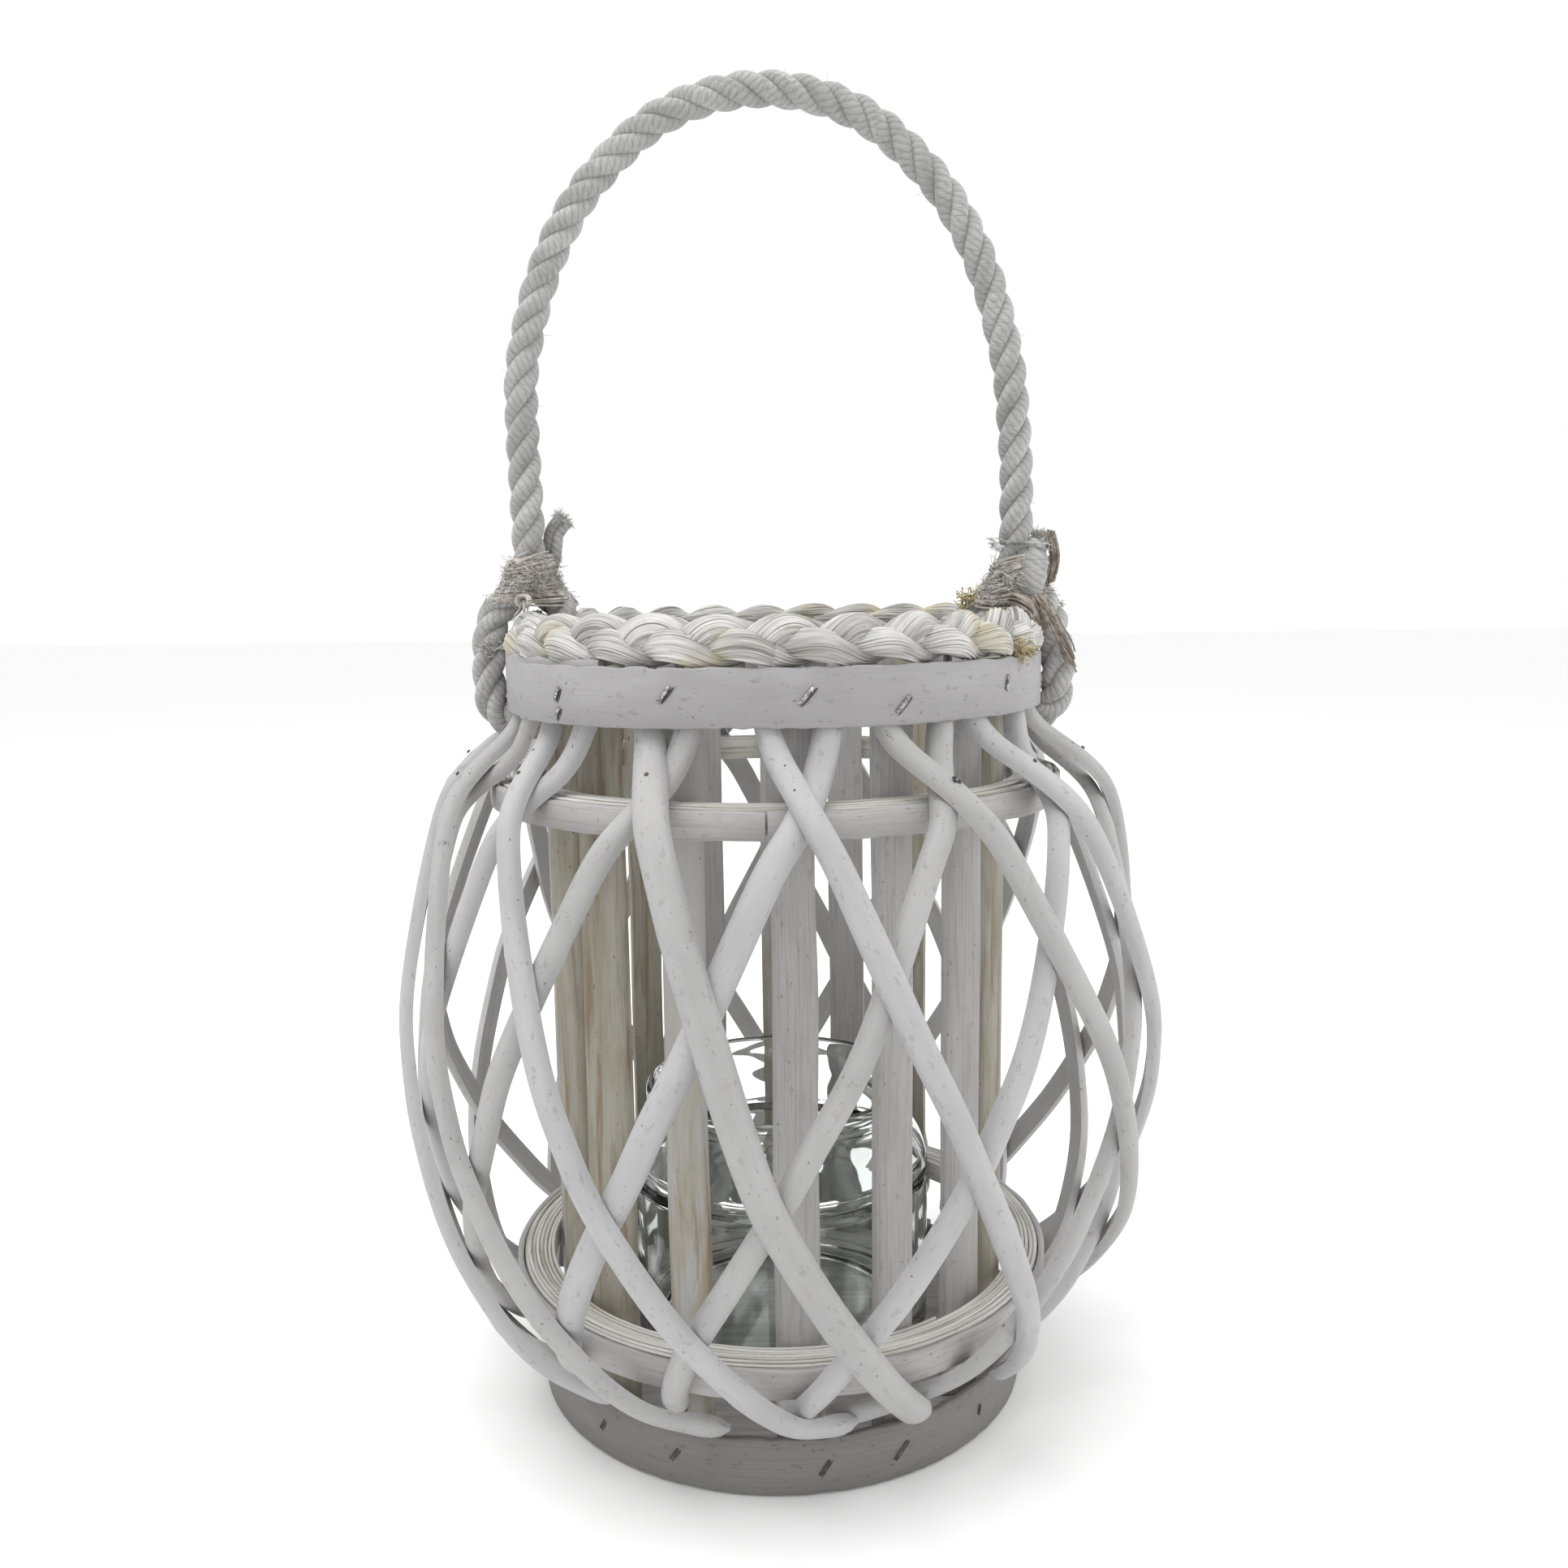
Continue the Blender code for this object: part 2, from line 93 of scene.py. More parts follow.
# Lattice canes. The belly is the outer face of the outer layer, as (radius, height), top to bottom.
BELLY = (
    (79.1, 230.5), (79.1, 222.0), (79.3, 216.5), (83.6, 211.0), (93.2, 204.0), (102.8, 194.5), (107.2, 184.0),
    (113.0, 160.0), (118.6, 130.0), (118.8, 112.0), (117.7, 95.0), (112.2, 65.0), (102.2, 41.0), (96.5, 32.0),
    (89.0, 23.5), (83.0, 18.6),
)
SWEEP_AT = (  # share of a cane's sweep that is done at each height
    (230.5, 0.0), (221.0, 0.0), (217.0, 0.014), (213.0, 0.04), (209.0, 0.074), (204.0, 0.115), (195.0, 0.166),
    (185.0, 0.215),
    (160.0, 0.32), (130.0, 0.44), (100.0, 0.56), (65.0, 0.735), (40.0, 0.87), (25.0, 0.96), (18.6, 1.0),
)
BOW_PEAK = 6.75  # makes share**2 * (1 - share) peak at 1
CANE_THICK = 4.2
LAYER_PITCH = CANE_THICK + 0.45
LAYERS_MEET = 216.5  # above this height both layers share one radius
LAYERS_PART = 206.0  # below this height they are a full LAYER_PITCH apart
LEAN_OUT = 0.8  # the belly stands this much further out at +X than at the front
LEAN_TOP = (216.0, 170.0)  # the lean fades in down this span, and out again down LEAN_FOOT
LEAN_FOOT = (18.0, 70.0)
CANE_STATIONS = 110
CANE_RUN_FROM = 25.0  # height where a cane turns to run along the foot band
CANE_KNEE = 13  # half the length over which that turn is smoothed, in points 1 mm apart
RUN_END = {"radius": 83.0, "height": 20.6, "radial": 0.97, "upward": -0.2}  # where a run along the foot ends
RUN_POINTS = 80
OUTER_CANES = (  # top azimuth, sweep, width, bow towards -X, and run along the foot
    (-75, 55, 7.4, 6.0, 14), (-54, 60, 7.0, 4.5, 13), (-26, 54, 9.4, 5.5, 0), (-2, 52, 7.2, 0.0, 0),
    (21, 65, 7.2, 0.0, 12), (44, 60, 7.6, 0.0, 15), (73, 60, 8.0, 0.0, 0), (106, 62, 7.2, 0.0, 14),
    (132, 60, 7.6, 0.0, 0), (159, 63, 7.0, 0.0, 13), (185, 60, 7.8, 0.0, 15), (211, 61, 7.2, 0.0, 0),
    (238, 60, 7.6, 2.0, 14), (264, 53, 7.2, 4.0, 10),
)
INNER_CANES = (
    (-62, 60, 7.2, 0.0, 10), (-39.5, 53.5, 7.2, 0.0, 0), (-15.5, 56.5, 7.4, 0.0, 12), (12, 59, 8.2, 0.0, 0),
    (37, 59, 7.2, 3.5, 0), (65, 63, 7.4, 3.5, 0), (96, 64, 7.6, 0.0, 26), (122, 61, 7.0, 0.0, 0),
    (148, 62, 7.6, 0.0, 14), (175, 60, 7.2, 0.0, 10), (201, 62, 7.6, 0.0, 0), (228, 60, 7.2, 0.0, 14),
    (254, 60, 7.4, 0.0, 12),
)

NAIL_HEIGHT = 203.0
NAIL_SPAN = (196.0, 210.0)  # heights of a cane's other nails

JAR_BASE = 11.3
JAR_RADIUS = 48.0
JAR_TURNS = 96
JAR_PROFILE = (
    (0.0, 5.2), (38.0, 5.2), (42.6, 5.9), (44.8, 8.0), (45.2, 11.0), (45.2, 54.0), (44.4, 58.4), (42.4, 62.6),
    (40.2, 66.4), (39.1, 70.0), (38.9, 74.0), (38.9, 80.8), (39.4, 82.4), (40.8, 83.0), (42.3, 82.7),
    (43.1, 81.4), (43.1, 79.0), (42.4, 77.6), (41.8, 76.4), (41.7, 73.6), (42.2, 71.0), (43.6, 67.9),
    (45.8, 63.9),
    (47.2, 60.0), (47.9, 56.0), (48.0, 52.0), (48.0, 6.0), (47.5, 3.0), (46.0, 1.0), (43.6, 0.1), (40.0, 0.0),
    (36.0, 0.9), (0.0, 1.2),
)

# Braided rim and rope. Where one end is (x, z), x is its distance from the lantern's axis, on either side.
RIM_RADIUS = 75.9
RIM_CENTRE = 238.3
BRAID_CROSSINGS = 26  # in three times round, so the three strands join end to end
BRAID_TILT = 38.0  # the plait's flat face looks outwards and this many degrees up
BRAID_SWING = 3.4
BRAID_DEPTH = 2.0
STRAND_HALF = (4.15, 2.95)  # half the width and thickness of one straw strand
BRAID_STATIONS = 2700
BRAID_CORNERS = 34
BRAID_JOIN = 60  # stations over which the ends of the plait are evened out
ROPE_RADIUS = 5.0
ROPE_STRAND = 2.62
ROPE_LAY = 27.0  # length of one full twist
ARCH = ((75.0, 270.0), (75.1, 285.0), (74.8, 300.0), (73.8, 316.0), (70.9, 330.0), (66.6, 344.0),
        (60.2, 358.0), (50.6, 372.0), (34.5, 386.8), (18.0, 394.6), (0.0, 397.3))
ARCH_LEAN = {"shift": -1.6, "from": 275.0, "to": 325.0}
UNDER_BAND = ((87.2, 223.0), (86.6, 218.5), (84.4, 214.2), (81.0, 212.0), (77.0, 211.2), (73.0, 211.4),
              (69.0, 212.9), (65.6, 216.5), (63.9, 222.5))
LOOP_FORWARD = 7.5
TAIL_BEHIND = 8.7
LEG_OUTSIDE = ((87.5, 232.0), (87.4, 239.5), (85.4, 245.3), (81.2, 249.4))
LEG_INSIDE = ((63.9, 232.0), (64.2, 239.5), (66.1, 245.3), (69.6, 249.2))
STANDING_OUTSIDE = ((77.2, 253.3), (75.8, 257.8), (75.1, 261.0), (75.0, 265.0))
STANDING_INSIDE = ((73.0, 253.5), (74.3, 257.8), (74.9, 261.0), (75.0, 265.0))
END_INSIDE = ((73.2, 253.0), (74.4, 256.5), (73.6, 259.8))
END_OUTSIDE = ((79.2, 253.5), (79.8, 257.5), (80.7, 260.2))
TAIL_INSIDE = ((73.0, 256.0), (71.0, 259.4), (68.8, 262.4), (68.2, 266.0), (67.8, 269.6), (65.0, 274.0))
TAIL_OUTSIDE = ((79.6, 256.5), (81.2, 259.8), (82.6, 262.2), (83.4, 264.8), (84.0, 267.2))
TAIL_SHARES = (0.98, 0.74, 0.64, 0.62, 0.64)  # the tail's radius from its lashing to its cut end
TAIL_LAY = 70.0  # the strands of a cut end open out, so they twist less
TAIL_FORWARD = 3.2  # how far the top of a tail comes forward again
LASHINGS = {-1: (249.2, 261.2), 1: (246.4, 258.8)}  # each lashing's lowest and highest turn
TWINE = ((11, 0.62, 0.4, 0.3), (9, 0.5, 0.9, 1.4), (8, 0.42, 1.2, 2.4))  # turns, radius, lift, tilt
KNOT = {"side": 76.0, "forward": 7.0, "wide": 1.9, "tall": 1.6, "thick": 0.85}
LOOP_TUFT = (-85.5, -13.5, 235.2)
STRAW_STRAND = ((69.5, -8.6, 247.5), (73.0, -10.4, 247.8), (77.5, -11.2, 245.6), (80.8, -10.6, 241.6),
                (82.0, -10.0, 238.5))
STRAW_TUFT = (61.5, -1.5, 247.0)
RIM_TUFT = (69.3, -43.0, 234.3)
HANGING_FIBRE = ((79.6, -8.6, 249.5), (82.6, -11.0, 244.6), (85.0, -12.4, 239.4), (88.2, -12.4, 234.0),
                 (90.4, -11.6, 229.6))
DRY_FIBRE = ((86.2, 2.6, 253.0), (87.2, 2.0, 258.0), (87.2, 2.4, 263.5), (85.8, 3.6, 267.6))
TAPE_CENTRE = (77.5, 3.0, 261.2)
SWELLING = ((78.6, -0.4, 250.0), (78.8, -1.5, 254.0), (79.0, -1.7, 258.0), (79.2, -1.1, 261.4),
            (79.8, 1.2, 264.0))
SWELLING_HALF = (5.0, 5.4)
SWELLING_CORNERS = 40

# Studio.
CAMERA_SENSOR = 36.0
CAMERA_LENS = 36.0 * 1718.2 / 1932.0
CAMERA_PLACE_M = (0.00274, -0.43571, 0.25366)
CAMERA_DOWN = 8.26
CAMERA_ROLL = -0.70
FLOOR_HALF_M = 6
FLOOR_HEIGHT_M = -0.0005


# ---------------------------------------------------------------- numbers

def ease(low, high, value):
    """0 at low, 1 at high, smooth in between; low may be the larger."""
    share = np.clip((value - low) / (high - low), 0.0, 1.0)
    return share * share * (3.0 - 2.0 * share)


def catmull_rom(points, per_span):
    """A smooth curve through the points, with per_span steps in each span."""
    points = np.asarray(points, float)
    padded = np.vstack([2 * points[0] - points[1], points, 2 * points[-1] - points[-2]])
    t = (np.arange(per_span) / per_span)[:, None]
    spans = []
    for a, b, c, d in zip(padded, padded[1:], padded[2:], padded[3:]):
        square, cube = 2 * a - 5 * b + 4 * c - d, 3 * b - a - 3 * c + d
        spans.append(0.5 * (2 * b + (c - a) * t + square * t**2 + cube * t**3))
    return np.vstack([*spans, points[-1:]])


def lengths_of(points):
    return np.concatenate([[0.0], np.cumsum(np.linalg.norm(np.diff(points, axis=0), axis=1))])


def evenly(points, count):
    lengths = lengths_of(points)
    at = np.linspace(0.0, lengths[-1], count)
    return np.stack([np.interp(at, lengths, points[:, axis]) for axis in range(points.shape[1])], axis=1)


def wander(rng, count, scale, amount):
    """A smooth random signal: one knot every scale stations, peaks near amount."""
    knots = rng.normal(0.0, amount, max(int(count / scale) + 3, 4))
    smooth = catmull_rom(knots[:, None], 8)[:, 0]
    return np.interp(np.linspace(0, len(smooth) - 1, count), np.arange(len(smooth)), smooth)


def stacked(*parts):
    return np.stack(np.broadcast_arrays(*parts), axis=-1)


def around(radius, azimuth, height):
    """Points from cylinder coordinates."""
    angle = np.radians(azimuth)
    return stacked(radius * np.sin(angle), -radius * np.cos(angle), height)


def unit(vectors):
    return vectors / np.maximum(np.linalg.norm(vectors, axis=-1, keepdims=True), 1e-9)


def carried_frames(path, first_normal):
    """Directions along and across a path, carried along it without twist."""
    along = unit(np.gradient(path, axis=0))
    normals = np.empty_like(path)
    normal = np.asarray(first_normal, float)
    for index, direction in enumerate(along):
        normal = normal - direction * normal.dot(direction)
        normal /= np.linalg.norm(normal)
        normals[index] = normal
    return along, normals, np.cross(along, normals)


# ---------------------------------------------------------------- meshes

class Skin:
    """Collects tubes into one mesh, each with UVs in units of UV_SPAN: u along the tube, v round it."""

    def __init__(self):
        self.points, self.faces, self.uvs, self.slots = [], [], [], []
        self.count = 0

    def tube(self, rows, loop=False, caps=True, seed=0.0, slot=0):
        """Adds a tube from rows, (stations, section points, 3). A loop's last station joins its first."""
        stations, corners = rows.shape[:2]
        centre = rows.mean(axis=1)
        u = lengths_of(np.vstack([centre, centre[:1]]) if loop else centre) / UV_SPAN + seed
        v = lengths_of(np.vstack([rows[stations // 2], rows[stations // 2][:1]])) / UV_SPAN + seed * 0.37
        i = np.arange(stations if loop else stations - 1)[:, None]
        j = np.arange(corners)[None, :]
        i2, j2 = (i + 1) % stations, (j + 1) % corners
        quads = stacked(i * corners + j, i * corners + j2, i2 * corners + j2, i2 * corners + j)
        ends = ((i, j), (i, j + 1), (i + 1, j + 1), (i + 1, j))
        uv = np.stack([stacked(u[a], v[b]) for a, b in ends], axis=-2)
        quads, uv = quads.reshape(-1, 4), uv.reshape(-1, 4, 2)
        flat = rows.reshape(-1, 3)
        first, second, third, fourth = (flat[quads[:, k]] for k in range(4))
        inside_out = np.sum(first * (np.cross(second, third) + np.cross(third, fourth))) < 0
        if inside_out:
            quads, uv = quads[:, ::-1], uv[:, ::-1]
        self.faces += (quads + self.count).tolist()
        self.uvs += uv.reshape(-1, 2).tolist()
        self.slots += [slot] * len(quads)
        if caps and not loop:
            for start, turn in ((0, inside_out), ((stations - 1) * corners, not inside_out)):
                cap = [self.count + start + k for k in range(corners)]
                spokes = [6.28 * k / corners for k in range(corners)]
                ring = [[u[0] + CAP_UV * math.cos(way), v[0] + CAP_UV * math.sin(way)] for way in spokes]
                self.faces.append(cap if turn else cap[::-1])
                self.uvs += ring if turn else ring[::-1]
                self.slots.append(slot)
        self.points.append(flat)
        self.count += len(flat)

    def build(self, name, *materials, sharp=40.0):
        """Makes the object, smooth but for edges over sharp degrees."""
        mesh = bpy.data.meshes.new(name)
        mesh.from_pydata((np.vstack(self.points) * MM).tolist(), [], self.faces)
        mesh.uv_layers.new(name="UVMap").data.foreach_set("uv", np.asarray(self.uvs, np.float32).reshape(-1))
        for material in materials:
            mesh.materials.append(material)
        mesh.polygons.foreach_set("material_index", self.slots)
        mesh.shade_smooth()
        mesh.set_sharp_from_angle(angle=math.radians(sharp))
        mesh.update()
        obj = bpy.data.objects.new(name, mesh)
        bpy.context.scene.collection.objects.link(obj)
        return obj


def round_tube(path, radius, corners, normal=(0.0, 1.0, 0.0)):
    """Rows of a round tube; radius is a number or one per station."""
    _, across, up = carried_frames(path, normal)
    angle = np.linspace(0, 2 * np.pi, corners, endpoint=False)
    radius = np.broadcast_to(radius, (len(path),))[:, None, None]
    ring = np.cos(angle)[None, :, None] * across[:, None, :] + np.sin(angle)[None, :, None] * up[:, None, :]
    return path[:, None, :] + radius * ring


# ---------------------------------------------------------------- materials

class Paint:
    """A Principled material built from a few procedural layers."""

    def __init__(self, name, roughness):
        self.material = bpy.data.materials.new(name)
        self.material.use_nodes = True
        self.tree = self.material.node_tree
        self.shader = self.tree.nodes["Principled BSDF"]
        self.shader.inputs["Roughness"].default_value = roughness

    def node(self, kind, inputs=(), **settings):
        made = self.tree.nodes.new(kind)
        for key, value in settings.items():
            setattr(made, key, value)
        for key, value in dict(inputs).items():
            self.put(made.inputs[key], value)
        return made

    def put(self, socket, value):
        if isinstance(value, bpy.types.NodeSocket):
            self.tree.links.new(value, socket)
        else:
            socket.default_value = value

    def mapped(self, vector, scale, shift=0.0):
        inputs = {"Vector": vector, "Scale": scale, "Location": (shift,) * 3}
        return self.node("ShaderNodeMapping", inputs).outputs[0]

    def surface(self, stretch=(1.0, 1.0), shift=0.0):
        """UV coordinates in mm, stretched along u and v."""
        uv = self.node("ShaderNodeTexCoord").outputs["UV"]
        return self.mapped(uv, (UV_SPAN * stretch[0], UV_SPAN * stretch[1], 1.0), shift)

    def place(self, scale=1.0, shift=0.0):
        """Object coordinates in mm."""
        spot = self.node("ShaderNodeTexCoord").outputs["Object"]
        return self.mapped(spot, (scale / MM,) * 3, shift)

    def noise(self, vector, detail=3.0, rough=0.55, warp=0.0):
        inputs = {"Vector": vector, "Scale": 1.0, "Detail": detail, "Roughness": rough, "Distortion": warp}
        return self.node("ShaderNodeTexNoise", inputs).outputs["Fac"]

    def between(self, fac, low, high, start=0.0, end=1.0):
        """start where fac is at or under low, end at or over high, and a straight line in between."""
        inputs = {"Value": fac, "From Min": low, "From Max": high, "To Min": start, "To Max": end}
        return self.node("ShaderNodeMapRange", inputs).outputs[0]

    def blend(self, fac, first, second):
        made = self.node("ShaderNodeMix", data_type="RGBA")
        self.put(made.inputs["Factor"], fac)
        for socket, value in ((made.inputs[6], first), (made.inputs[7], second)):
            self.put(socket, value if isinstance(value, bpy.types.NodeSocket) else (*value, 1.0))
        return made.outputs[2]

    def colour(self, socket):
        self.put(self.shader.inputs["Base Color"], socket)

    def bump(self, height, distance, strength=1.0):
        """Adds a layer of relief, distance in mm, on top of what is there."""
        last = self.shader.inputs["Normal"].links
        inputs = {"Height": height, "Distance": distance * MM, "Strength": strength}
        if last:
            inputs["Normal"] = last[0].from_socket
        self.put(self.shader.inputs["Normal"], self.node("ShaderNodeBump", inputs).outputs[0])


def darker(colour, share):
    return tuple(share * channel for channel in colour)


def whitewash(name, paint_colour, wood, worn=0.06, streaks=0.12, specks=0.6, lumps=0.5, roughness=0.62):
    """Brushed white paint over wood: faint grain, worn spots down to the wood, and pin-prick specks."""
    paint = Paint(name, roughness)
    broad = paint.noise(paint.surface((0.035, 0.09), 3.0), 3.0, 0.55, 0.3)
    grain = paint.noise(paint.surface((0.03, 1.5)), 3.0, 0.6)
    patches = paint.noise(paint.surface((0.085, 0.20), 11.0), 5.0, 0.62, 0.5)
    flecks = paint.noise(paint.surface((0.55, 0.75), 23.0), 2.0, 0.5)
    nicks = paint.noise(paint.surface((0.22, 0.42), 41.0), 4.0, 0.7)
    colour = paint.blend(paint.between(broad, 0.34, 0.66), darker(paint_colour, 0.86), paint_colour)
    colour = paint.blend(paint.between(grain, 0.34, 0.52, streaks, 0.0), colour, darker(wood, 0.55))
    edge = 0.5 + 0.36 * (0.5 - worn)
    colour = paint.blend(paint.between(patches, edge, edge + 0.10, 0.0, 0.75), colour, wood)
    colour = paint.blend(paint.between(flecks, 0.70, 0.76, 0.0, specks), colour, darker(wood, 0.30))
    bright = tuple(min(1.25 * c, 0.9) for c in paint_colour)
    colour = paint.blend(paint.between(nicks, 0.64, 0.70, 0.0, 0.5), colour, bright)
    paint.colour(colour)
    gloss = paint.between(broad, 0.3, 0.7, roughness - 0.08, roughness + 0.10)
    paint.put(paint.shader.inputs["Roughness"], gloss)
    paint.bump(grain, 0.10, 0.5)
    paint.bump(paint.noise(paint.surface((0.14, 0.30), 5.0), 4.0, 0.6), lumps, 0.35)
    paint.bump(paint.between(nicks, 0.62, 0.70), 0.30, 0.9)
    paint.bump(paint.between(flecks, 0.66, 0.76), 0.35, -0.9)
    return paint.material


def worn_slat(name, paint_colour, wood, stain, painted_above=None):
    """A slat where the whitewash is thin: bare wood with long brown stains and dark specks.

    Above the height painted_above, in mm, the paint covers it all.
    """
    paint = Paint(name, 0.68)
    thin = paint.noise(paint.surface((0.030, 0.16), 3.0), 4.0, 0.6, 0.4)
    long = paint.noise(paint.surface((0.018, 0.26), 13.0), 4.0, 0.62, 0.6)
    grain = paint.noise(paint.surface((0.04, 1.7), 1.0), 4.0, 0.6)
    flecks = paint.noise(paint.surface((0.32, 0.62), 29.0), 2.0, 0.5)
    colour = paint.blend(paint.between(thin, 0.42, 0.60), wood, paint_colour)
    colour = paint.blend(paint.between(long, 0.52, 0.66, 0.0, 0.72), colour, stain)
    colour = paint.blend(paint.between(grain, 0.32, 0.50, 0.34, 0.0), colour, darker(wood, 0.55))
    if painted_above is not None:
        height = paint.node("ShaderNodeSeparateXYZ", {"Vector": paint.place()}).outputs["Z"]
        covered = paint.between(height, painted_above - 35.0, painted_above + 35.0, 0.0, 0.9)
        colour = paint.blend(covered, colour, paint_colour)
    colour = paint.blend(paint.between(flecks, 0.69, 0.75, 0.0, 0.85), colour, darker(stain, 0.28))
    paint.colour(colour)
    paint.bump(grain, 0.16, 0.6)
    paint.bump(flecks, 0.3, 0.3)
    return paint.material


def edge_splints(name):
    """Thin splints laid on edge: cream wood, ragged, with dark lines of painted shade in the gaps."""
    paint = Paint(name, 0.8)
    gap_relief_and_shade = paint.noise(paint.surface((0.02, 1.1), 2.0), 3.0, 0.6)
    ragged = paint.noise(paint.surface((0.25, 0.9), 17.0), 4.0, 0.65)
    broad = paint.noise(paint.surface((0.02, 0.05), 5.0), 2.0)
    colour = paint.blend(paint.between(broad, 0.35, 0.65), (0.52, 0.505, 0.465), (0.66, 0.655, 0.63))
    # Dark lines in the gaps between splints: painted shade.
    colour = paint.blend(paint.between(gap_relief_and_shade, 0.36, 0.48, 0.65, 0.0), colour, (0.20, 0.15, 0.10))
    colour = paint.blend(paint.between(ragged, 0.60, 0.70, 0.0, 0.5), colour, (0.24, 0.17, 0.10))
    paint.colour(colour)
    paint.bump(gap_relief_and_shade, 0.3, 0.7)
    paint.bump(ragged, 0.3, 0.5)
    return paint.material


def clear_film():
    """Creased clear tape."""
    paint = Paint("clear_film", 0.18)
    paint.shader.inputs["Transmission Weight"].default_value = 0.75
    paint.shader.inputs["IOR"].default_value = 1.4
    creases = paint.noise(paint.place(0.8, 3.0), 3.0)
    paint.colour(paint.blend(paint.between(creases, 0.35, 0.65), (0.62, 0.62, 0.63), (0.92, 0.92, 0.93)))
    paint.bump(creases, 0.8, 0.8)
    return paint.material


def straw_paint():
    """White paint over straw, with yellow and brown where it is thin."""
    paint = Paint("painted_straw", 0.72)
    fibre = paint.noise(paint.surface((0.03, 2.3)), 3.0, 0.6, 0.2)
    broad = paint.noise(paint.surface((0.05, 0.12), 7.0), 3.0)
    tint = paint.noise(paint.place(0.05, 4.0), 2.5)
    brown = paint.noise(paint.surface((0.06, 0.25), 31.0), 3.0)
    colour = paint.blend(paint.between(broad, 0.35, 0.65), (0.42, 0.415, 0.395), (0.70, 0.695, 0.67))
    colour = paint.blend(paint.between(tint, 0.56, 0.66, 0.0, 0.62), colour, (0.56, 0.50, 0.29))
    colour = paint.blend(paint.between(brown, 0.60, 0.70, 0.0, 0.6), colour, (0.32, 0.24, 0.15))
    colour = paint.blend(paint.between(fibre, 0.36, 0.50, 0.85, 0.0), colour, (0.10, 0.09, 0.07))
    paint.colour(colour)
    paint.bump(fibre, 0.7, 1.0)
    return paint.material


def rope_cotton():
    """Strands bound with fine thread, so the lines run across each strand."""
    paint = Paint("cotton_rope", 0.92)
    paint.shader.inputs["Sheen Weight"].default_value = 0.2
    paint.shader.inputs["Sheen Roughness"].default_value = 0.5
    inputs = {"Vector": paint.surface((1.0, 0.45)), "Scale": 0.34, "Distortion": 3.2, "Detail": 2.0,
              "Detail Scale": 1.2}
    made = paint.node("ShaderNodeTexWave", inputs, wave_type="BANDS", bands_direction="DIAGONAL")
    wave = made.outputs["Fac"]
    thread = paint.noise(paint.surface((1.8, 0.16), 9.0), 3.0, 0.6)
    broad = paint.noise(paint.surface((0.05, 0.09), 2.0), 3.0)
    colour = paint.blend(paint.between(broad, 0.32, 0.68), (0.30, 0.30, 0.29), (0.47, 0.47, 0.46))
    colour = paint.blend(paint.between(thread, 0.32, 0.52, 0.42, 0.0), colour, (0.15, 0.145, 0.135))
    colour = paint.blend(paint.between(wave, 0.0, 0.30, 0.34, 0.0), colour, (0.13, 0.125, 0.115))
    paint.colour(colour)
    paint.bump(wave, 0.22, 0.7)
    paint.bump(thread, 0.30, 0.8)
    return paint.material


def fibre_stuff(name, light, dark, roughness=0.95):
    """Twine, straw ends and frayed fibre."""
    paint = Paint(name, roughness)
    broad = paint.noise(paint.place(0.45, 3.0), 3.0)
    fine = paint.noise(paint.surface((0.25, 2.4)), 2.0)
    colour = paint.blend(paint.between(broad, 0.35, 0.65), dark, light)
    colour = paint.blend(paint.between(fine, 0.32, 0.50, 0.6, 0.0), colour, darker(dark, 0.5))
    paint.colour(colour)
    paint.bump(fine, 0.18, 0.8)
    return paint.material


def staple_metal():
    paint = Paint("dull_staple", 0.45)
    paint.shader.inputs["Metallic"].default_value = 0.85
    worn = paint.noise(paint.place(1.2, 8.0), 3.0)
    paint.colour(paint.blend(paint.between(worn, 0.40, 0.62), (0.16, 0.15, 0.14), (0.50, 0.49, 0.48)))
    paint.put(paint.shader.inputs["Roughness"], paint.between(worn, 0.3, 0.7, 0.6, 0.35))
    return paint.material


def bottle_glass():
    paint = Paint("pale_green_glass", 0.03)
    paint.shader.inputs["Transmission Weight"].default_value = 1.0
    paint.shader.inputs["IOR"].default_value = 1.47
    haze = paint.noise(paint.place(0.05, 2.0), 2.0)
    paint.colour(paint.blend(paint.between(haze, 0.3, 0.7), (0.93, 0.965, 0.95), (0.965, 0.985, 0.978)))
    paint.bump(haze, 0.25, 0.25)
    return paint.material


def studio_white():
    paint = Paint("studio_floor", 0.9)
    faint = paint.noise(paint.place(0.004), 1.0)
    paint.colour(paint.blend(faint, (0.95, 0.95, 0.95), (0.96, 0.96, 0.96)))
    return paint.material


# ---------------------------------------------------------------- lattice and slats

def smoothed(columns, reach):
    """Each column averaged over reach points either way, with its ends kept where they are."""
    weights = np.hanning(2 * reach + 3)[1:-1]
    padded = np.pad(columns, ((reach, reach), (0, 0)), mode="reflect", reflect_type="odd")
    weights = weights / weights.sum()
    return np.stack([np.convolve(column, weights, mode="valid") for column in padded.T], axis=1)


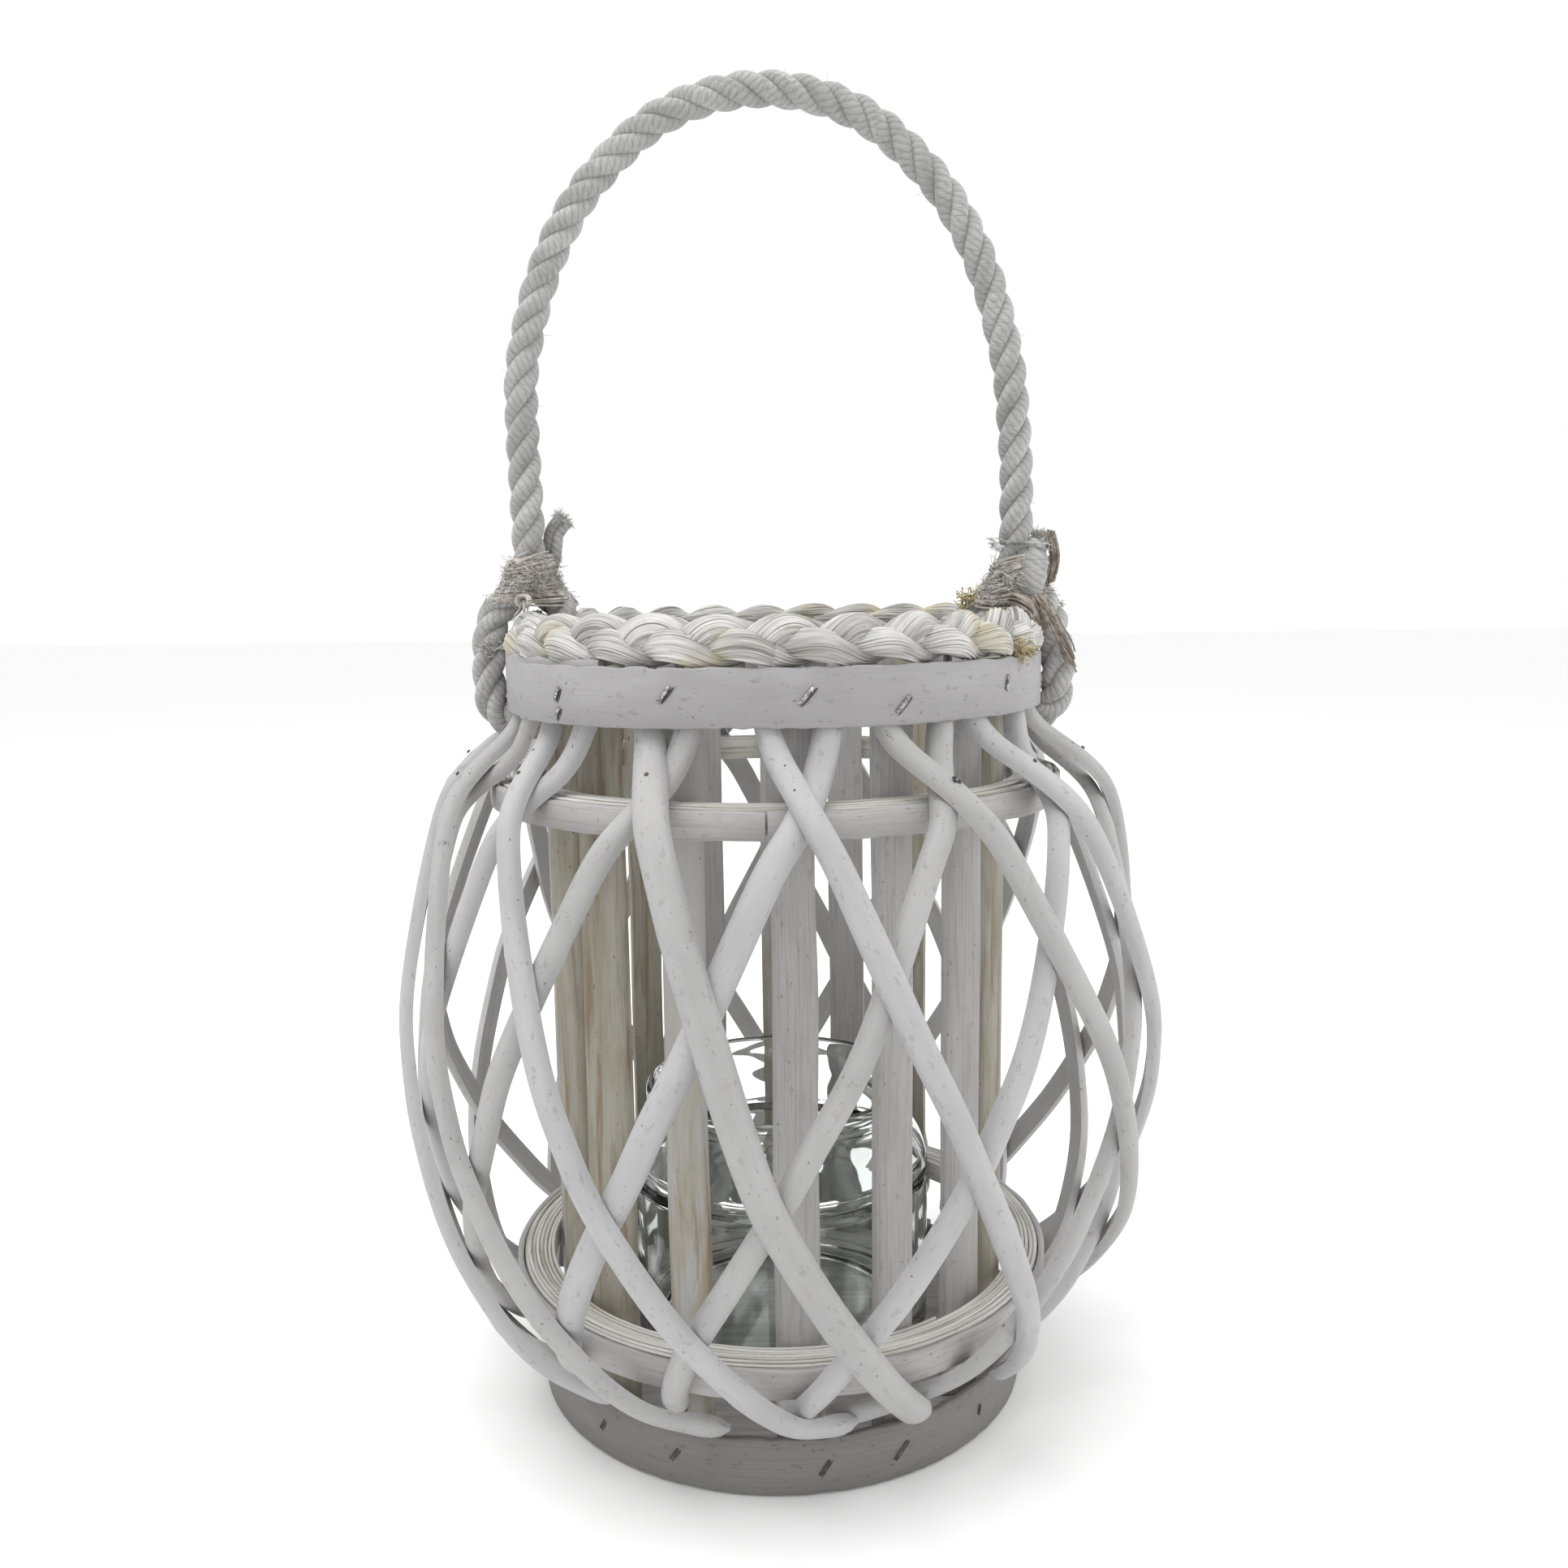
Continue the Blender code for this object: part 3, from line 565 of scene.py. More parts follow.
def cane_course(top, sweep, bow, run):
    """Face radius, height, azimuth and the normal's radial and upward parts, every 1 mm down a cane."""
    belly = catmull_rom(BELLY, 24)
    slope = unit(np.gradient(belly, axis=0))
    table = np.asarray(SWEEP_AT)[::-1]
    share = np.interp(belly[:, 1], table[:, 0], table[:, 1])
    azimuth = top + sweep * share - bow * BOW_PEAK * share**2 * (1.0 - share)
    course = np.column_stack([belly, azimuth, -slope[:, 1], slope[:, 0]])
    if run:
        course = course[course[:, 1] >= CANE_RUN_FROM]
        radius, height, azimuth, radial, upward = course[-1]
        t = np.linspace(0.0, 1.0, RUN_POINTS)[1:]
        course = np.vstack([course, np.column_stack([
            RUN_END["radius"] + (radius - RUN_END["radius"]) * (1 - t) ** 3,
            RUN_END["height"] + (height - RUN_END["height"]) * (1 - t) ** 3,
            azimuth + math.copysign(run, sweep) * t,
            radial + (RUN_END["radial"] - radial) * ease(0, 1, t),
            upward + (RUN_END["upward"] - upward) * ease(0, 1, t),
        ])])
    length = lengths_of(around(course[:, 0], course[:, 2], course[:, 1]))
    at = np.arange(0.0, length[-1], 1.0)
    return smoothed(np.stack([np.interp(at, length, column) for column in course.T], axis=1), CANE_KNEE)


def cane_surface(top, sweep, bow, run, inner_layer, stations):
    """Points on a cane's outer face, with directions across it and outwards."""
    course = cane_course(top, sweep, bow, run)
    run_at = lengths_of(around(course[:, 0], course[:, 2], course[:, 1]))
    at = np.linspace(0.0, run_at[-1], stations)
    face, height, azimuth, radial, upward = (np.interp(at, run_at, column) for column in course.T)
    depth = ease(LAYERS_MEET, LAYERS_PART, height) * LAYER_PITCH if inner_layer else np.zeros(stations)
    out = LEAN_OUT * np.sin(np.radians(azimuth)) * ease(*LEAN_TOP, height) * ease(*LEAN_FOOT, height)
    points = around(face - depth * radial + out, azimuth, height - depth * upward)
    angle = np.radians(azimuth)
    outward = np.stack([radial * np.sin(angle), -radial * np.cos(angle), upward], axis=1)
    along = unit(np.gradient(points, axis=0))
    across = unit(np.cross(along, outward))
    return points, across, np.cross(across, along)


def half_round(half, thick, arc_points=13, groove=0.35):
    """A half-round section as (across, outwards): crown at 0, flat side at -thick with a pith groove."""
    angle = np.linspace(0.0, np.pi, arc_points)
    arc = np.stack([half * np.cos(angle), -thick * (1.0 - np.sin(angle) ** 0.72)], axis=1)
    flat_at = np.array([-0.9, -0.3, 0.0, 0.3, 0.9])
    flat_up = np.array([0.0, 0.05, groove, 0.05, 0.0])
    return np.vstack([arc, np.stack([flat_at * half, -thick + flat_up], axis=1)])


def cane_rows(top, sweep, width, bow, run, inner_layer, rng):
    """Rows of one cane: uneven in width, with a few knots on its crown and a blunt lower end."""
    points, across, outward = cane_surface(top, sweep, bow, run, inner_layer, CANE_STATIONS)
    section = half_round(width / 2, CANE_THICK)
    length = lengths_of(points)
    left = length[-1] - length
    blunt = 0.62 * width if not run else 9.0
    end = np.sqrt(np.clip(1.0 - (1.0 - np.minimum(left, blunt) / blunt) ** 2, 0.03, 1.0))
    width_at = (1.0 + wander(rng, CANE_STATIONS, 14, 0.03)) * end
    thick_at = (1.0 + wander(rng, CANE_STATIONS, 18, 0.02)) * (0.2 + 0.8 * end)
    side_at = wander(rng, CANE_STATIONS, 22, 0.35)
    knot = np.zeros(CANE_STATIONS)
    for _ in range(rng.integers(2, 5)):
        tall, spot, spread = rng.uniform(0.3, 0.7), rng.uniform(30, length[-1] - 20), rng.uniform(1.4, 2.6)
        knot += tall * np.exp(-(((length - spot) / spread) ** 2))
    crown = np.exp(-((section[:, 0] - rng.uniform(-1.6, 1.6)) / 1.3) ** 2)
    crown = crown * (section[:, 1] > -0.6 * CANE_THICK)
    sideways = section[None, :, 0] * width_at[:, None] + side_at[:, None]
    outwards = -CANE_THICK + (section[None, :, 1] + CANE_THICK) * np.minimum(thick_at, 1.0)[:, None]
    outwards = outwards + knot[:, None] * crown[None, :] * 0.6
    beside = sideways[..., None] * across[:, None, :]
    return points[:, None, :] + beside + outwards[..., None] * outward[:, None, :]


def build_canes(materials):
    for layer, canes, direction in (("outer", OUTER_CANES, 1), ("inner", INNER_CANES, -1)):
        for number, (top, sweep, width, bow, run) in enumerate(canes, 1):
            rng = np.random.default_rng(100 * direction + 500 + number)
            skin = Skin()
            rows = cane_rows(top, direction * sweep, width, bow, run, layer == "inner", rng)
            skin.tube(rows, seed=rng.uniform(0, 50))
            name = f"lattice_cane_{layer}_{number:02d}"
            cane = skin.build(f"willow_{layer}_{number:02d}", materials[number % len(materials)], sharp=50.0)
            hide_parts(name)
            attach(cane, BODY)


def nail_marks(skin, rows, rng):
    """Two or three small nail heads sunk in a cane's crown where it crosses the middle hoop."""
    crown = rows[:, 6]
    for height in (NAIL_HEIGHT, *rng.uniform(*NAIL_SPAN, rng.integers(1, 3))):
        index = int(np.argmin(np.abs(crown[:, 2] - height)))
        outward = unit(rows[index, 6] - rows[index].mean(axis=0))
        spot = crown[index] + rng.normal(0, 0.7, 3) - 0.15 * outward
        path = spot + outward * np.array([-0.4, -0.1, 0.12, 0.2])[:, None]
        skin.tube(round_tube(path, np.array([0.62, 0.62, 0.5, 0.15]), 8, (0.3, 0.2, 0.9)), seed=height * 0.01)


def build_nail_marks(material):
    skin = Skin()
    for number, (top, sweep, width, bow, run) in enumerate(OUTER_CANES, 1):
        rng = np.random.default_rng(600 + number)
        nail_marks(skin, cane_rows(top, sweep, width, bow, run, False, rng), rng)
    marks = skin.build("nail_heads", material)
    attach(marks, BODY)


def slat_rows(azimuth, rng):
    """Rows of one upright slat, slightly uneven in width."""
    stations = 60
    height = np.linspace(*SLAT_SPAN, stations)
    turn, width, inset = TURNED_SLATS.get(azimuth, (rng.uniform(-1.5, 1.5), SLAT_WIDTH, SLAT_INSET))
    section = half_round(width / 2, SLAT_THICK, 11, 0.0)
    width_at = 1.0 + wander(rng, stations, 12, 0.022)
    side_at = wander(rng, stations, 20, 0.18)
    outward = around(1.0, azimuth + turn, 0.0)
    across = around(1.0, azimuth + turn + 90.0, 0.0)
    base = around(SLAT_OUTER - inset, azimuth, height)
    sideways = section[None, :, 0] * width_at[:, None] + side_at[:, None]
    outwards = np.broadcast_to(section[None, :, 1], sideways.shape)
    return base[:, None, :] + sideways[..., None] * across + outwards[..., None] * outward


def build_slats(white, brown, half_painted):
    for number, azimuth in enumerate(SLAT_AZIMUTHS, 1):
        rng = np.random.default_rng(900 + number)
        skin = Skin()
        skin.tube(slat_rows(azimuth, rng), seed=rng.uniform(0, 50))
        material = brown if azimuth in BROWN_SLATS else white
        material = half_painted if azimuth in HALF_PAINTED_SLATS else material
        slat = skin.build(f"slat_{number:02d}", material, sharp=45.0)
        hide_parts(f"upright_slat_{number:02d}")
        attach(slat, BODY)


# ---------------------------------------------------------------- bands and hoops

def strip_rows(size, stations, rng, edge_noise=0.18):
    """A bent strip whose end climbs over its own start. Its section is a flat bar with eased edges."""
    total = 360.0 + (size["lap"] or -STRIP_GAP)
    turned = np.linspace(0.0, total, stations)
    climb = ease(*LAP_CLIMB, turned) * (size["thick"] + 0.3) if size["lap"] else np.zeros(stations)
    thick, soft = size["thick"], min(0.45, size["thick"] * 0.3)
    outer = size["outer"] + climb
    low = size["low"] + np.abs(wander(rng, stations, 5, edge_noise))
    high = size["high"] + np.minimum(wander(rng, stations, 5, edge_noise), 0.25)
    high = high + size.get("start_higher", 0.0) * ease(*HIGHER_UNTIL, turned)
    corners = (
        (0.0, -soft, 1), (0.0, 0.0, 0.5), (0.0, soft, 0), (-soft, 0.0, 0), (-thick + soft, 0.0, 0),
        (-thick, soft, 0), (-thick, -soft, 1), (-thick + soft, 0.0, 1), (-soft, 0.0, 1),
    )
    rows = []
    for inwards, offset, share in corners:
        height = low + (high - low) * share + offset
        rows.append(around(outer + inwards, size["seam"] - turned, height))
    return np.stack(rows, axis=1)


def build_bands(top_material, foot_shaded_material):
    bands = (
        ("band_top", "top_band", TOP_BAND, 1, top_material),
        ("band_foot", "foot_band", FOOT_BAND, 2, foot_shaded_material),
    )
    for name, node, size, seed, material in bands:
        skin = Skin()
        skin.tube(strip_rows(size, 700, np.random.default_rng(seed)), seed=3.0 * seed)
        band = skin.build(name, material, sharp=60.0)
        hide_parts(node)
        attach(band, BODY)


def coil_rows(size, rng):
    """Thin splints wound round and round, as one flat spiral of unequal height."""
    stations = size["turns"] * 90
    turn = np.linspace(0.0, size["turns"], stations)
    pitch = (size["outer"] - size["inner"]) / size["turns"]
    thick = pitch * 0.86
    inner = size["inner"] + pitch * turn + wander(rng, stations, 9, 0.05)
    inner = np.minimum(inner, size["outer"] - thick)
    layer = np.floor(turn + 0.35 * np.sin(turn * 2.1))
    step = np.array([rng.uniform(-0.55, 0.35) for _ in range(size["turns"] + 2)])
    jump = np.convolve(np.pad(step[layer.astype(int).clip(0)], 4, mode="edge"), np.ones(9) / 9, mode="valid")
    high = size["high"] - 0.25 + jump + wander(rng, stations, 7, 0.16)
    low = size["low"] + np.abs(wander(rng, stations, 9, 0.25))
    azimuth = -turn * 360.0 + COIL_START
    corners = ((inner, low), (inner + thick, low), (inner + thick, high - 0.25), (inner + 0.7 * thick, high),
               (inner + 0.25 * thick, high), (inner, high - 0.25))
    return np.stack([around(radius, azimuth, height) for radius, height in corners], axis=1)


def build_hoops(strip_material, splint_material):
    hoops = (("hoop_middle", "middle_hoop_strip", "middle_hoop_splints", MIDDLE_STRIP, MIDDLE_COIL, 5),
             ("hoop_bottom", "bottom_hoop_strip", "bottom_hoop_splints", BOTTOM_STRIP, BOTTOM_COIL, 6))
    for name, strip_node, coil_node, strip_size, coil_size, seed in hoops:
        rng = np.random.default_rng(seed)
        strip, coil = Skin(), Skin()
        strip.tube(strip_rows(strip_size, 260, rng, 0.22), seed=seed)
        coil.tube(coil_rows(coil_size, rng), seed=seed + 0.5)
        for skin, suffix, node, material in ((strip, "strip", strip_node, strip_material),
                                             (coil, "splints", coil_node, splint_material)):
            piece = skin.build(f"{name}_{suffix}", material, sharp=50.0)
            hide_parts(node)
            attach(piece, BODY)


def staple_rows(azimuth, height, lean, radius, length, thick):
    """A staple's crown, bowed out of the wood, with both ends going in."""
    share = np.linspace(-1.0, 1.0, 9)
    away = radius + 0.3 - 4.5 * np.clip(np.abs(share) - 0.72, 0.0, 1.0)
    along = share * length / 2
    spot = azimuth + np.degrees(along * math.sin(math.radians(lean)) / radius)
    path = around(away, spot, height + along * math.cos(math.radians(lean)))
    return round_tube(path, np.full(9, thick), 6, around(1.0, azimuth, 0.0))


def staple_shade_rows(azimuth, height, lean, radius, length):
    """Painted shade beside a staple: a thin dark sliver just off the face, a little to one side of it and
    below it.
    """
    share = np.linspace(-1.0, 1.0, 7)
    along = share * (length / 2 + 0.5)
    spot = azimuth + 0.55 + np.degrees(along * math.sin(math.radians(lean)) / radius)
    path = around(radius - 0.15, spot, height - 0.5 + along * math.cos(math.radians(lean)))
    return round_tube(path, 0.45 * np.sqrt(1.02 - share**2), 6, around(1.0, azimuth, 0.0))


def build_staples(bright, dark):
    skin = Skin()
    for slot, rows, size, thick in ((0, TOP_STAPLES, TOP_BAND, 0.62), (1, FOOT_STAPLES, FOOT_BAND, 0.40)):
        for azimuth, height, lean, length in rows:
            under = size["seam"] - size["lap"]
            climbed = float(ease(under - 8.0, under, azimuth))
            climbed *= float(ease(size["seam"] + 30.0, size["seam"], azimuth))
            face = size["outer"] + climbed * (size["thick"] + 0.3)
            skin.tube(staple_rows(azimuth, height, lean, face, length, thick), seed=azimuth * 0.01, slot=slot)
            # A dark sliver beside and below each staple, in the dark slot: painted shade.
            skin.tube(staple_shade_rows(azimuth, height, lean, face, length), seed=azimuth * 0.02, slot=1)
    staples = skin.build("staples", bright, dark)
    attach(staples, BODY)


# ---------------------------------------------------------------- rim

def braid_rows(rng):
    """The plait's three strands, joined end to end in one ribbed bundle that goes round three times."""
    stations, corners = BRAID_STATIONS, BRAID_CORNERS
    turn = np.linspace(0.0, 1080.0, stations, endpoint=False)
    phase = -np.radians(turn) * BRAID_CROSSINGS / 3.0
    uneven = 1.0 + wander(rng, stations, 60, 0.045)
    uneven[-BRAID_JOIN:] += (uneven[0] - uneven[-1]) * np.linspace(0, 1, BRAID_JOIN)
    tilt = math.radians(BRAID_TILT)
    swing, depth = BRAID_SWING * np.cos(phase), BRAID_DEPTH * np.sin(2 * phase)
    radius = RIM_RADIUS + swing * math.sin(tilt) + depth * math.cos(tilt)
    height = RIM_CENTRE - swing * math.cos(tilt) + depth * math.sin(tilt)
    path = around(radius, turn, height)
    along = unit(np.roll(path, -1, axis=0) - np.roll(path, 1, axis=0))
    face = around(math.cos(tilt), turn, math.sin(tilt))
    side = unit(np.cross(along, face))
    face = np.cross(side, along)
    angle = np.linspace(0, 2 * np.pi, corners, endpoint=False)
    swell = (1.0 + 0.13 * np.sin(2 * phase)) * uneven
    rolled = angle[None, :] + (0.5 * np.sin(2 * phase + 0.7))[:, None]
    stalk = np.where(np.arange(corners) % 2 == 0, 1.0, 0.90) + rng.uniform(-0.035, 0.035, corners)
    loose = np.stack([wander(rng, stations, 26, 0.022) for _ in range(corners)], axis=1)
    loose *= ease(0.0, BRAID_JOIN, np.minimum(np.arange(stations), stations - np.arange(stations)))[:, None]
    reach = (stalk[None, :] + loose) * swell[:, None]
    across = (np.cos(rolled) * STRAND_HALF[0] * reach)[..., None] * side[:, None, :]
    outward = (np.sin(rolled) * STRAND_HALF[1] * reach)[..., None] * face[:, None, :]
    return path[:, None, :] + across + outward


def stray_straws(skin, rng, count):
    """Broken ends of straw that stick out of the plait."""
    azimuth = rng.uniform(0, 360, count)
    radius = RIM_RADIUS + rng.uniform(1.0, 4.6, count)
    starts = around(radius, azimuth, RIM_CENTRE + rng.uniform(-4.5, 5.0, count))
    way = around(0.5, azimuth, 0.2) + rng.normal(0, 0.6, (count, 3))
    short_fibres(skin, starts, unit(way), rng, 2.4, 0.14)


def build_rim(material):
    skin = Skin()
    rng = np.random.default_rng(40)
    skin.tube(braid_rows(rng), loop=True, seed=7.0)
    stray_straws(skin, rng, 90)
    rim = skin.build("straw_plait", material, sharp=75.0)
    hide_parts("braided_rim")
    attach(rim, BODY)


# ---------------------------------------------------------------- rope

def side_path(side, standing, first_leg, second_leg, end):
    """One end of the rope, from its lashing down round the band to where it is lashed again."""
    turn = UNDER_BAND if first_leg is LEG_OUTSIDE else UNDER_BAND[::-1]
    points = []
    parts = (((*standing[::-1], *first_leg[::-1], *turn), 0.0), ((*second_leg, *end), TAIL_BEHIND))
    for part, behind in parts:
        for x, z in part:
            back = -LOOP_FORWARD + (LOOP_FORWARD + behind) * float(ease(222.0, 250.0, z))
            points.append((side * x, back, z))
    return points


def rope_path():
    """The whole rope, from its left end to its right end."""
    left = side_path(-1, STANDING_OUTSIDE, LEG_OUTSIDE, LEG_INSIDE, END_INSIDE)
    right = side_path(1, STANDING_INSIDE, LEG_INSIDE, LEG_OUTSIDE, END_OUTSIDE)
    arch = []
    for x, z in [(-x, z) for x, z in ARCH] + list(ARCH[-2::-1]):
        arch.append((x + ARCH_LEAN["shift"] * float(ease(ARCH_LEAN["from"], ARCH_LEAN["to"], z)), 0.0, z))
    return catmull_rom([*left[::-1], *arch, *right], 10)


def twisted(path, spacing, share, lay, corners, phase=0.0):
    """Three strands laid round a path, thinner or thicker by share: a list of rows."""
    path = evenly(path, int(lengths_of(path)[-1] / spacing))
    run = lengths_of(path)
    share = np.interp(run, np.linspace(0, run[-1], len(share)), share)
    _, normal, binormal = carried_frames(path, (0.0, 1.0, 0.0))
    offset = ((ROPE_RADIUS + 0.2 - ROPE_STRAND) * share)[:, None]
    strands = []
    for number in range(3):
        angle = (phase + 2 * np.pi * (run / lay + number / 3))[:, None]
        centre = path + offset * (np.cos(angle) * normal + np.sin(angle) * binormal)
        strands.append(round_tube(centre, ROPE_STRAND * share, corners))
    return strands


def short_fibres(skin, starts, directions, rng, length, radius, slot=0):
    """Loose fibres that stand off a surface and curl."""
    for start, direction in zip(starts, directions):
        bend = unit(rng.normal(0, 1, 3))
        reach = length * rng.uniform(0.5, 1.3)
        t = np.linspace(0, 1, 5)[:, None]
        path = start + direction * reach * t + bend * reach * 0.5 * t**2
        rows = round_tube(path, radius * (1.0 - 0.6 * t[:, 0]), 3, bend)
        skin.tube(rows, seed=rng.uniform(0, 9), slot=slot)


def build_rope(material):
    skin = Skin()
    strands = twisted(rope_path(), 1.1, (1.0, 1.0), ROPE_LAY, 18)
    for number, rows in enumerate(strands):
        skin.tube(rows, seed=5.0 * number)
    rng = np.random.default_rng(71)
    for rows in strands:
        picked = rng.integers(4, len(rows) - 4, 150)
        corner = rng.integers(0, rows.shape[1], 150)
        starts = rows[picked, corner]
        directions = unit(starts - rows[picked].mean(axis=1) + rng.normal(0, 1.2, (150, 3)))
        short_fibres(skin, starts, directions, rng, 1.5, 0.07)
    rope = skin.build("rope_whole", material, sharp=80.0)
    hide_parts("rope_handle", "rope_loop_left", "rope_loop_right")
    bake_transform(rope)


def lashed_legs(side):
    """The two legs that a lashing holds, from the bottom up, as (x, y, z) curves."""
    standing = STANDING_OUTSIDE if side < 0 else STANDING_INSIDE
    standing_leg = LEG_OUTSIDE if side < 0 else LEG_INSIDE
    tail_leg, end = (LEG_INSIDE, END_INSIDE) if side < 0 else (LEG_OUTSIDE, END_OUTSIDE)
    first = [(side * x, 0.0, z) for x, z in (*standing_leg[2:], *standing)]
    second = [(side * x, TAIL_BEHIND, z) for x, z in (*tail_leg[2:], *end, (end[-1][0], 264.0))]
    return catmull_rom(first, 8), catmull_rom(second, 8)


def lashing_spot(legs, height, angle, away):
    """Points on a sleeve round both legs, away mm off the rope."""
    first, second = (
        np.stack([np.interp(height, leg[:, 2], leg[:, axis]) for axis in (0, 1)], 1) for leg in legs
    )
    middle, half = (first + second) / 2, (second - first) / 2
    along = unit(half)
    sideways = np.stack([-along[:, 1], along[:, 0]], axis=1)
    bore = (ROPE_RADIUS + away)[:, None] if np.ndim(away) else ROPE_RADIUS + away
    lobe = np.tanh(3.0 * np.cos(angle))[:, None]
    flat = middle + half * lobe + bore * (np.cos(angle)[:, None] * along + np.sin(angle)[:, None] * sideways)
    return np.column_stack([flat, height])


def wound(legs, span, turns, radius, away, tilt, rng):
    """One length of twine wound up round both legs and crossing over itself."""
    stations = turns * 30
    turn = np.linspace(0, turns, stations)
    angle = 2 * np.pi * turn + rng.uniform(0, 6.28)
    height = span[0] + (span[1] - span[0]) * turn / turns
    height = height + tilt * np.sin(angle + turn * 0.4) + wander(rng, stations, 8, 0.45)
    lift = away + np.abs(wander(rng, stations, 7, 0.35))
    thick = radius * (1.0 + wander(rng, stations, 6, 0.16))
    return round_tube(lashing_spot(legs, height, angle, lift), thick, 7, (0, 0, 1.0))


def lashing_fluff(skin, legs, span, rng, count):
    """Short curls of twine fibre all over the lashing, most of them at mid height."""
    height = np.clip(rng.normal(sum(span) / 2, 3.1, count), span[0] - 0.8, span[1] + 0.8)
    angle = rng.uniform(0, 2 * np.pi, count)
    lift = rng.uniform(1.4, 2.7, count)
    starts = lashing_spot(legs, height, angle, lift)
    turned = angle + rng.choice([-0.45, 0.45], count)
    other_height = height + rng.normal(0, 1.5, count)
    beside = lashing_spot(legs, other_height, turned, lift + rng.uniform(-0.2, 0.7, count))
    short_fibres(skin, starts, unit(beside - starts), rng, 3.2, 0.2, slot=1)


def add_knot(skin, side, low, rng):
    """A loop of twine at the front of a lashing, with five loose ends that hang from it."""
    angle = np.linspace(0, 2 * np.pi, 26)
    x = side * KNOT["side"] + KNOT["wide"] * np.cos(angle)
    y = -KNOT["forward"] - 0.7 * np.cos(2 * angle)
    loop = stacked(x, y, low + KNOT["tall"] * np.sin(angle))
    skin.tube(round_tube(loop, KNOT["thick"], 8, (0, 1.0, 0)), seed=2.0)
    for number in range(5):
        start = np.array([side * KNOT["side"], -KNOT["forward"] - 0.6, low]) + rng.normal(0, 0.7, 3)
        t = np.linspace(0, 1, 10)[:, None]
        way = np.array([-side * rng.uniform(-1.5, 3.5), -1.2, -rng.uniform(3.0, 7.0)])
        skin.tube(round_tube(start + way * t + (side * 2.0, 0, 0) * t**2, 0.24, 6), seed=number, slot=1)


def build_lashing(name, side, node, twine, fluff):
    rng = np.random.default_rng(80 + side)
    legs, span = lashed_legs(side), LASHINGS[side]
    skin = Skin()
    for turns, radius, away, tilt in TWINE:
        skin.tube(wound(legs, span, turns, radius, away, tilt, rng), seed=turns)
    lashing_fluff(skin, legs, span, rng, 950)
    add_knot(skin, side, span[0] - 0.4, rng)
    lashing = skin.build(name, twine, fluff, sharp=80.0)
    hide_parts(node)
    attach(lashing, BODY)


def build_tail(name, side, points, node, rope, fluff):
    """The rope's cut end above its lashing, strands opening into frayed fibre."""
    rng = np.random.default_rng(90 + side)
    behind = np.interp([z for _, z in points], (259.0, 264.0), (TAIL_BEHIND, TAIL_BEHIND - TAIL_FORWARD))
    path = catmull_rom([(side * x, y, z) for (x, z), y in zip(points, behind)], 8)
    skin = Skin()
    strands = twisted(path, 0.8, TAIL_SHARES, TAIL_LAY, 16, phase=1.1)
    for number, rows in enumerate(strands):
        skin.tube(rows, seed=6.0 * number)
    tip = unit(path[-1] - path[-4])
    for rows in strands:
        middle = rows[-1].mean(axis=0)
        spots = middle + (rows[-1][rng.integers(0, 16, 90)] - middle) * rng.uniform(0.1, 1.05, (90, 1))
        directions = unit(tip * 0.5 + rng.normal(0, 0.6, (90, 3)))
        short_fibres(skin, spots - tip * 0.8, directions, rng, 2.0, 0.2, slot=1)
    tail = skin.build(name, rope, fluff, sharp=80.0)
    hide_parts(node)
    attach(tail, BODY)


def build_cut_strand(fluff):
    """A strand cut short on the left loop, standing out as a tuft."""
    rng = np.random.default_rng(61)
    count = 160
    starts = np.array(LOOP_TUFT) + rng.normal(0, 1.0, (count, 3)) * (1.5, 1.0, 1.1)
    way = unit(rng.normal(0, 0.6, (count, 3)) + (-0.12, -0.85, 0.05))
    skin = Skin()
    short_fibres(skin, starts, way, rng, 2.1, 0.22)
    tuft = skin.build("cut_strand", fluff, sharp=80.0)
    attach(tuft, BODY)


def ribbon_rows(path, half, thick, twist):
    """A flat strip along a path, turning by twist radians on its way."""
    _, across, up = carried_frames(path, (0.0, 1.0, 0.0))
    turning = np.linspace(0, twist, len(path))[:, None]
    wide = np.cos(turning) * across + np.sin(turning) * up
    flat = np.cos(turning) * up - np.sin(turning) * across
    corners = ((-1, -1), (1, -1), (1, 1), (-1, 1))
    half = np.broadcast_to(half, (len(path),))[:, None]
    return np.stack([path + a * half * wide + b * thick / 2 * flat for a, b in corners], axis=1)


def straw_strand(straw, frayed, rng):
    """Three thin straws across the right lashing, and two tufts of straw, one of them on the rim."""
    path = catmull_rom(STRAW_STRAND, 10)
    skin = Skin()
    for shift in (0.0, 1.0, -0.9):
        wobble = np.cumsum(rng.normal(0, 0.05, path.shape), axis=0)
        half = 0.9 + 0.35 * np.sin(np.linspace(0, 3.1, len(path)))
        skin.tube(ribbon_rows(path + wobble + (0, 0, shift), half, 0.4, 1.0), seed=shift, slot=1)
    tufts = (
        (STRAW_TUFT, 210, (1.9, 1.2, 1.6), (-0.4, -0.3, 0.2), 1.9, 0.3),
        (RIM_TUFT, 150, (2.0, 0.8, 1.5), (0.3, -0.8, 0), 1.7, 0.27),
    )
    for centre, count, spread, lean, length, radius in tufts:
        spots = np.array(centre) + rng.normal(0, 1.0, (count, 3)) * spread
        short_fibres(skin, spots, unit(rng.normal(0, 1, (count, 3)) + lean), rng, length, radius)
    return skin.build("straw_strand", straw, frayed, sharp=60.0)


